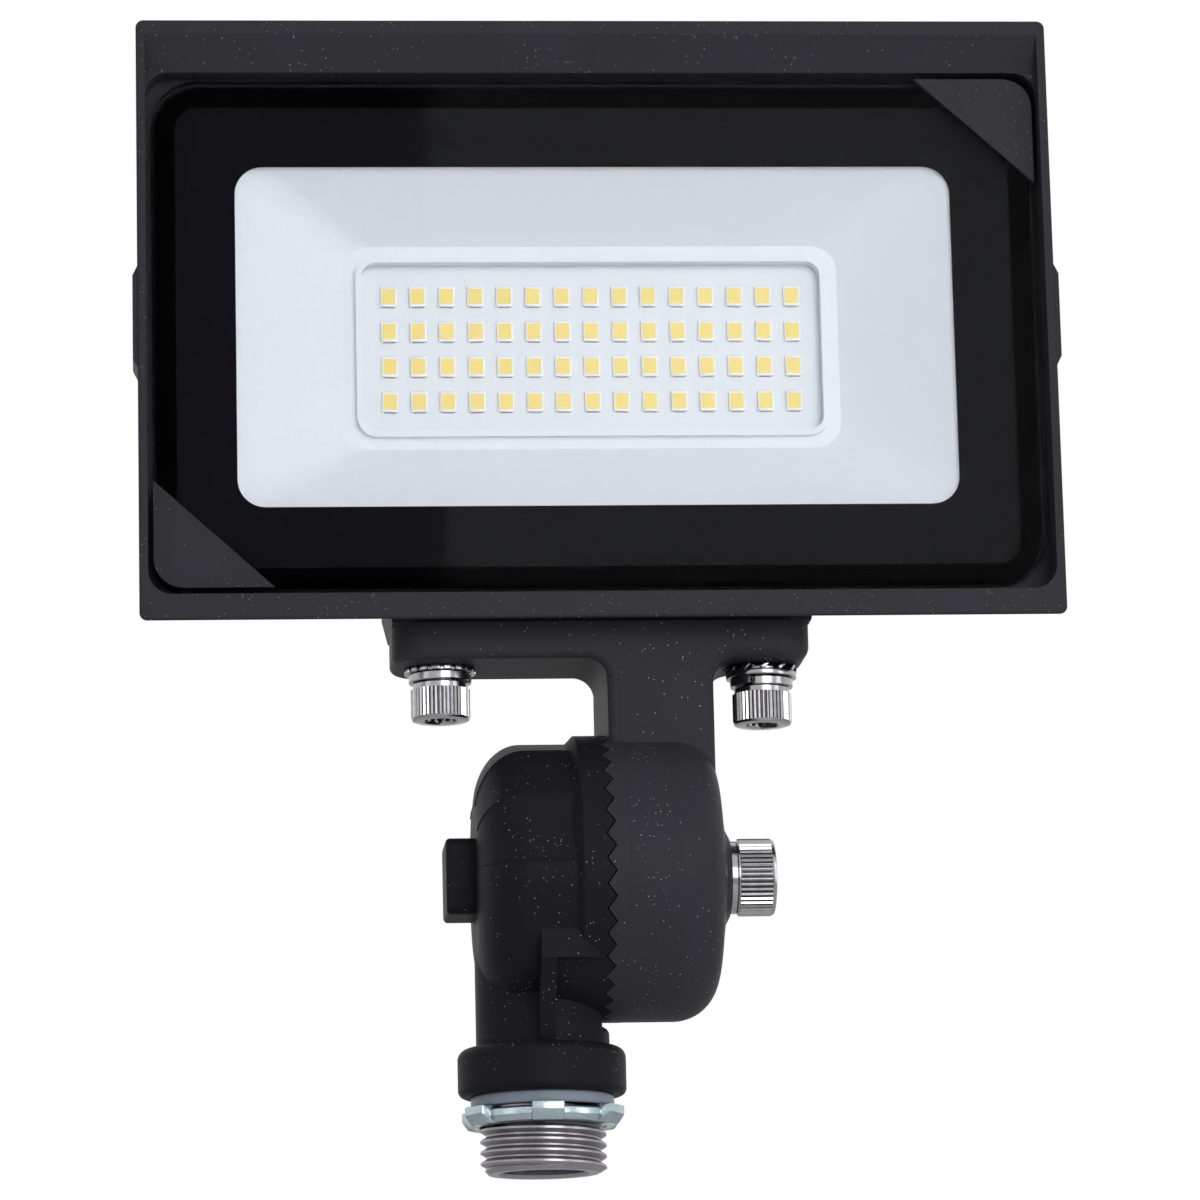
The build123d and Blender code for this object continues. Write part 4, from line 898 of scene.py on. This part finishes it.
def locknut_lug_tree():
    """Lugs round the locknut whose lower parts lean in towards the thread."""
    tree, sizes = tree_with(
        "locknut lugs", "Number of lugs", "Radius", "Length", "Width", "Height", "Turn", "Lean"
    )
    size = add(
        tree, "ShaderNodeCombineXYZ", {"X": sizes["Length"], "Y": sizes["Width"], "Z": sizes["Height"]}
    )
    block = add(tree, "GeometryNodeMeshCube", {"Size": size.outputs[0], "Vertices Z": 3})
    here = add(tree, "GeometryNodeInputPosition")
    parts = add(tree, "ShaderNodeSeparateXYZ", {"Vector": here.outputs[0]})
    below = add(tree, "ShaderNodeMath", {0: parts.outputs["Z"], 1: 0.0}, operation="MINIMUM")
    inwards = add(tree, "ShaderNodeMath", {0: below.outputs[0], 1: sizes["Lean"]}, operation="MULTIPLY")
    lean = add(tree, "ShaderNodeCombineXYZ", {"X": inwards.outputs[0]})
    shaped = add(
        tree, "GeometryNodeSetPosition", {"Geometry": block.outputs["Mesh"], "Offset": lean.outputs[0]}
    )
    lugs = ring_of(tree, sizes["Number of lugs"], sizes["Radius"], shaped.outputs["Geometry"])
    about = add(tree, "ShaderNodeCombineXYZ", {"Z": sizes["Turn"]})
    turned_lugs = add(tree, "GeometryNodeTransform", {"Geometry": lugs, "Rotation": about.outputs[0]})
    end_tree(tree, turned_lugs.outputs["Geometry"], zinc)
    return tree


LOCKNUT_TOP = -2.0
LUG_MIDDLE = 1.6
lugs = grown(
    locknut_lug_tree(),
    Number_of_lugs=6,
    Radius=12.35 * MM,
    Length=2.9 * MM,
    Width=5.4 * MM,
    Height=3.1 * MM,
    Turn=radians(30),
    Lean=0.75,
)
ring = turned(
    [
        (10.55, -0.5),
        (11.4, -0.45),
        (12.3, -0.75),
        (12.45, -1.1),
        (12.45, -2.0),
        (11.9, -2.85),
        (11.0, -3.2),
        (10.55, -3.0),
    ],
    96,
)
locknut = joined(
    placed(softened(ring, 0.12), z=LOCKNUT_TOP), softened(placed(lugs, z=LOCKNUT_TOP - LUG_MIDDLE), 0.3)
)
piece("locknut_lugged", locknut, zinc, "nut", ["locknut"])


def led_tree(name, material, depth):
    """Flat blocks in rows and columns, each turned a little off square."""
    tree, sizes = tree_with(
        name, "Number across", "Number up", "Pitch across", "Pitch up", "Width", "Height", "Thickness"
    )
    spans = []
    for number, pitch in (("Number across", "Pitch across"), ("Number up", "Pitch up")):
        less = add(tree, "ShaderNodeMath", {0: sizes[number], 1: 1.0}, operation="SUBTRACT")
        spans.append(
            add(tree, "ShaderNodeMath", {0: less.outputs[0], 1: sizes[pitch]}, operation="MULTIPLY")
        )
    grid = add(
        tree,
        "GeometryNodeMeshGrid",
        {
            "Size X": spans[0].outputs[0],
            "Size Y": spans[1].outputs[0],
            "Vertices X": sizes["Number across"],
            "Vertices Y": sizes["Number up"],
        },
    )
    size = add(
        tree, "ShaderNodeCombineXYZ", {"X": sizes["Width"], "Y": sizes["Height"], "Z": sizes["Thickness"]}
    )
    block = add(tree, "GeometryNodeMeshCube", {"Size": size.outputs[0]})
    sunk = add(
        tree,
        "GeometryNodeTransform",
        {"Geometry": block.outputs["Mesh"], "Translation": (0.0, 0.0, depth * MM)},
    )
    sway = add(
        tree,
        "FunctionNodeRandomValue",
        {"Min": (0.0, 0.0, radians(-2.2)), "Max": (0.0, 0.0, radians(1.0)), "Seed": 4},
        data_type="FLOAT_VECTOR",
    )
    packages = add(
        tree,
        "GeometryNodeInstanceOnPoints",
        {"Points": grid.outputs["Mesh"], "Instance": sunk.outputs["Geometry"], "Rotation": sway.outputs[0]},
    )
    end_tree(tree, packages.outputs["Instances"], material)
    return tree


led_low, led_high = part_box("leds")
led_middle = (led_low + led_high) / 2 / MM
FACE_FRONT = Matrix.Rotation(pi / 2, 3, "X")
grid_sizes = {
    "Number_across": 15,
    "Number_up": 4,
    "Pitch_across": 4.925 * MM,
    "Pitch_up": 6.141 * MM,
}
shells = grown(
    led_tree("LED packages", led_white, 0.3),
    Width=2.8 * MM,
    Height=3.5 * MM,
    Thickness=0.6 * MM,
    **grid_sizes,
)
gels = grown(
    led_tree("LED phosphor", phosphor, 0.62),
    Width=2.25 * MM,
    Height=2.65 * MM,
    Thickness=0.08 * MM,
    **grid_sizes,
)
feet = grown(
    led_tree("LED solder", solder, 0.04),
    Width=2.0 * MM,
    Height=3.78 * MM,
    Thickness=0.08 * MM,
    **grid_sizes,
)
board_y = led_high.y / MM
for name, mesh, material, slot, edge, replaced in (
    ("led_packages", shells, led_white, "led_package", 0.08, ["leds"]),
    ("led_phosphor", gels, phosphor, "led_package", 0.0, ["leds"]),
    ("led_solder", feet, solder, "insert_steel", 0.0, ["leds"]),
):
    facing = placed(mesh, x=led_middle.x, y=board_y, z=led_middle.z, turn=FACE_FRONT)
    piece(name, softened(facing, edge) if edge else facing, material, "head", replaced)


def plate_with_window(outside, window, thickness):
    """Flat plate that faces the front with a window in it, both given as width, height and corner."""
    shape = bmesh.new()

    def loop(w, h, r, y):
        points = []
        for cx, cz, start in ((1, 1, 0), (-1, 1, 90), (-1, -1, 180), (1, -1, 270)):
            for i in range(13):
                angle = radians(start + i * 7.5)
                points.append(
                    shape.verts.new(
                        (
                            (cx * (w / 2 - r) + r * cos(angle)) * MM,
                            y * MM,
                            (cz * (h / 2 - r) + r * sin(angle)) * MM,
                        )
                    )
                )
        return points

    loops = [
        loop(*outside, 0.0),
        loop(*window, 0.0),
        loop(*window, thickness),
        loop(*outside, thickness),
    ]
    for one, other in zip(loops, loops[1:] + loops[:1]):
        for i in range(len(one)):
            k = (i + 1) % len(one)
            shape.faces.new((one[i], one[k], other[k], other[i]))
    bmesh.ops.recalc_face_normals(shape, faces=shape.faces)
    return mesh_of(shape, "plate")


glass_low, glass_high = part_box("front_glass")
glass_middle = (glass_low + glass_high) / 2 / MM
BORDER_OUTSIDE = (149.0, 87.0, 7.8)
BORDER_WINDOW = (121.3, 58.7, 4.7)
BORDER_THICKNESS = 0.05
border = plate_with_window(BORDER_OUTSIDE, BORDER_WINDOW, BORDER_THICKNESS)
piece(
    "glass_border_print",
    placed(border, x=glass_middle.x, y=glass_high.y / MM + 0.02, z=glass_middle.z),
    border_print,
    "head",
)

# Pale floor, far enough below to leave the view from beneath clear
FLOOR_Z = -0.60
FLOOR_REACH = 6.0
floor_corners = [
    (x * FLOOR_REACH, y * FLOOR_REACH, FLOOR_Z) for x, y in ((-1, -1), (1, -1), (1, 1), (-1, 1))
]
floor_mesh = bpy.data.meshes.new("floor")
floor_mesh.from_pydata(floor_corners, [], [(0, 1, 2, 3)])
floor = bpy.data.objects.new("floor", floor_mesh)
scene.collection.objects.link(floor)
floor_paint = bpy.data.materials.new("pale_floor")
floor_paint.use_nodes = True
tree = floor_paint.node_tree
tree.nodes.clear()
matt = add(tree, "ShaderNodeBsdfDiffuse", {"Color": colour("#e8e8e8")})
add(tree, "ShaderNodeOutputMaterial", {"Surface": matt.outputs[0]})
floor_mesh.materials.append(floor_paint)

# Soft light from all sides, and a white background
world = bpy.data.worlds.new("studio")
scene.world = world
world.use_nodes = True
tree = world.node_tree
tree.nodes.clear()
rays = add(tree, "ShaderNodeLightPath").outputs
seen = add(
    tree,
    "ShaderNodeMath",
    {0: rays["Is Camera Ray"], 1: rays["Is Glossy Ray"]},
    operation="MAXIMUM",
)
seen = add(
    tree,
    "ShaderNodeMath",
    {0: seen.outputs[0], 1: rays["Is Transmission Ray"]},
    operation="MAXIMUM",
)
# Light that has already met a dull surface comes in at the lower, lighting strength
unscattered = add(tree, "ShaderNodeMath", {0: rays["Diffuse Depth"], 1: 0.5}, operation="LESS_THAN")
direct = add(
    tree, "ShaderNodeMath", {0: seen.outputs[0], 1: unscattered.outputs[0]}, operation="MULTIPLY"
)
SKY_LIGHT = 0.55
strength = add(
    tree,
    "ShaderNodeMath",
    {0: direct.outputs[0], 1: 1.0 - SKY_LIGHT, 2: SKY_LIGHT},
    operation="MULTIPLY_ADD",
)
sky = add(tree, "ShaderNodeBackground", {"Color": (1.0, 1.0, 1.0, 1.0), "Strength": strength.outputs[0]})
add(tree, "ShaderNodeOutputWorld", {"Surface": sky.outputs[0]})


def lamp(name, place, target, width, height, power):
    """Soft box that points at a target."""
    data = bpy.data.lights.new(name, "AREA")
    data.shape = "RECTANGLE"
    data.size = width
    data.size_y = height
    data.energy = power
    thing = bpy.data.objects.new(name, data)
    scene.collection.objects.link(thing)
    thing.location = place
    thing.rotation_euler = (Vector(target) - Vector(place)).to_track_quat("-Z", "Y").to_euler()


LAMP_TARGET = (0.01, 0.0, 0.08)
for name, place, width, height, power in (
    ("front_box", (0.4, -1.3, 0.25), 0.7, 0.7, 7.5),
    ("left_box", (-0.9, -0.6, 0.3), 0.35, 0.9, 0.6),
    ("right_box", (0.95, -0.5, 0.2), 0.35, 0.9, 1.6),
    ("top_box", (0.0, 0.1, 1.1), 0.8, 0.8, 0.3),
):
    lamp(name, place, LAMP_TARGET, width, height, power)

scene.view_settings.view_transform = "Standard"
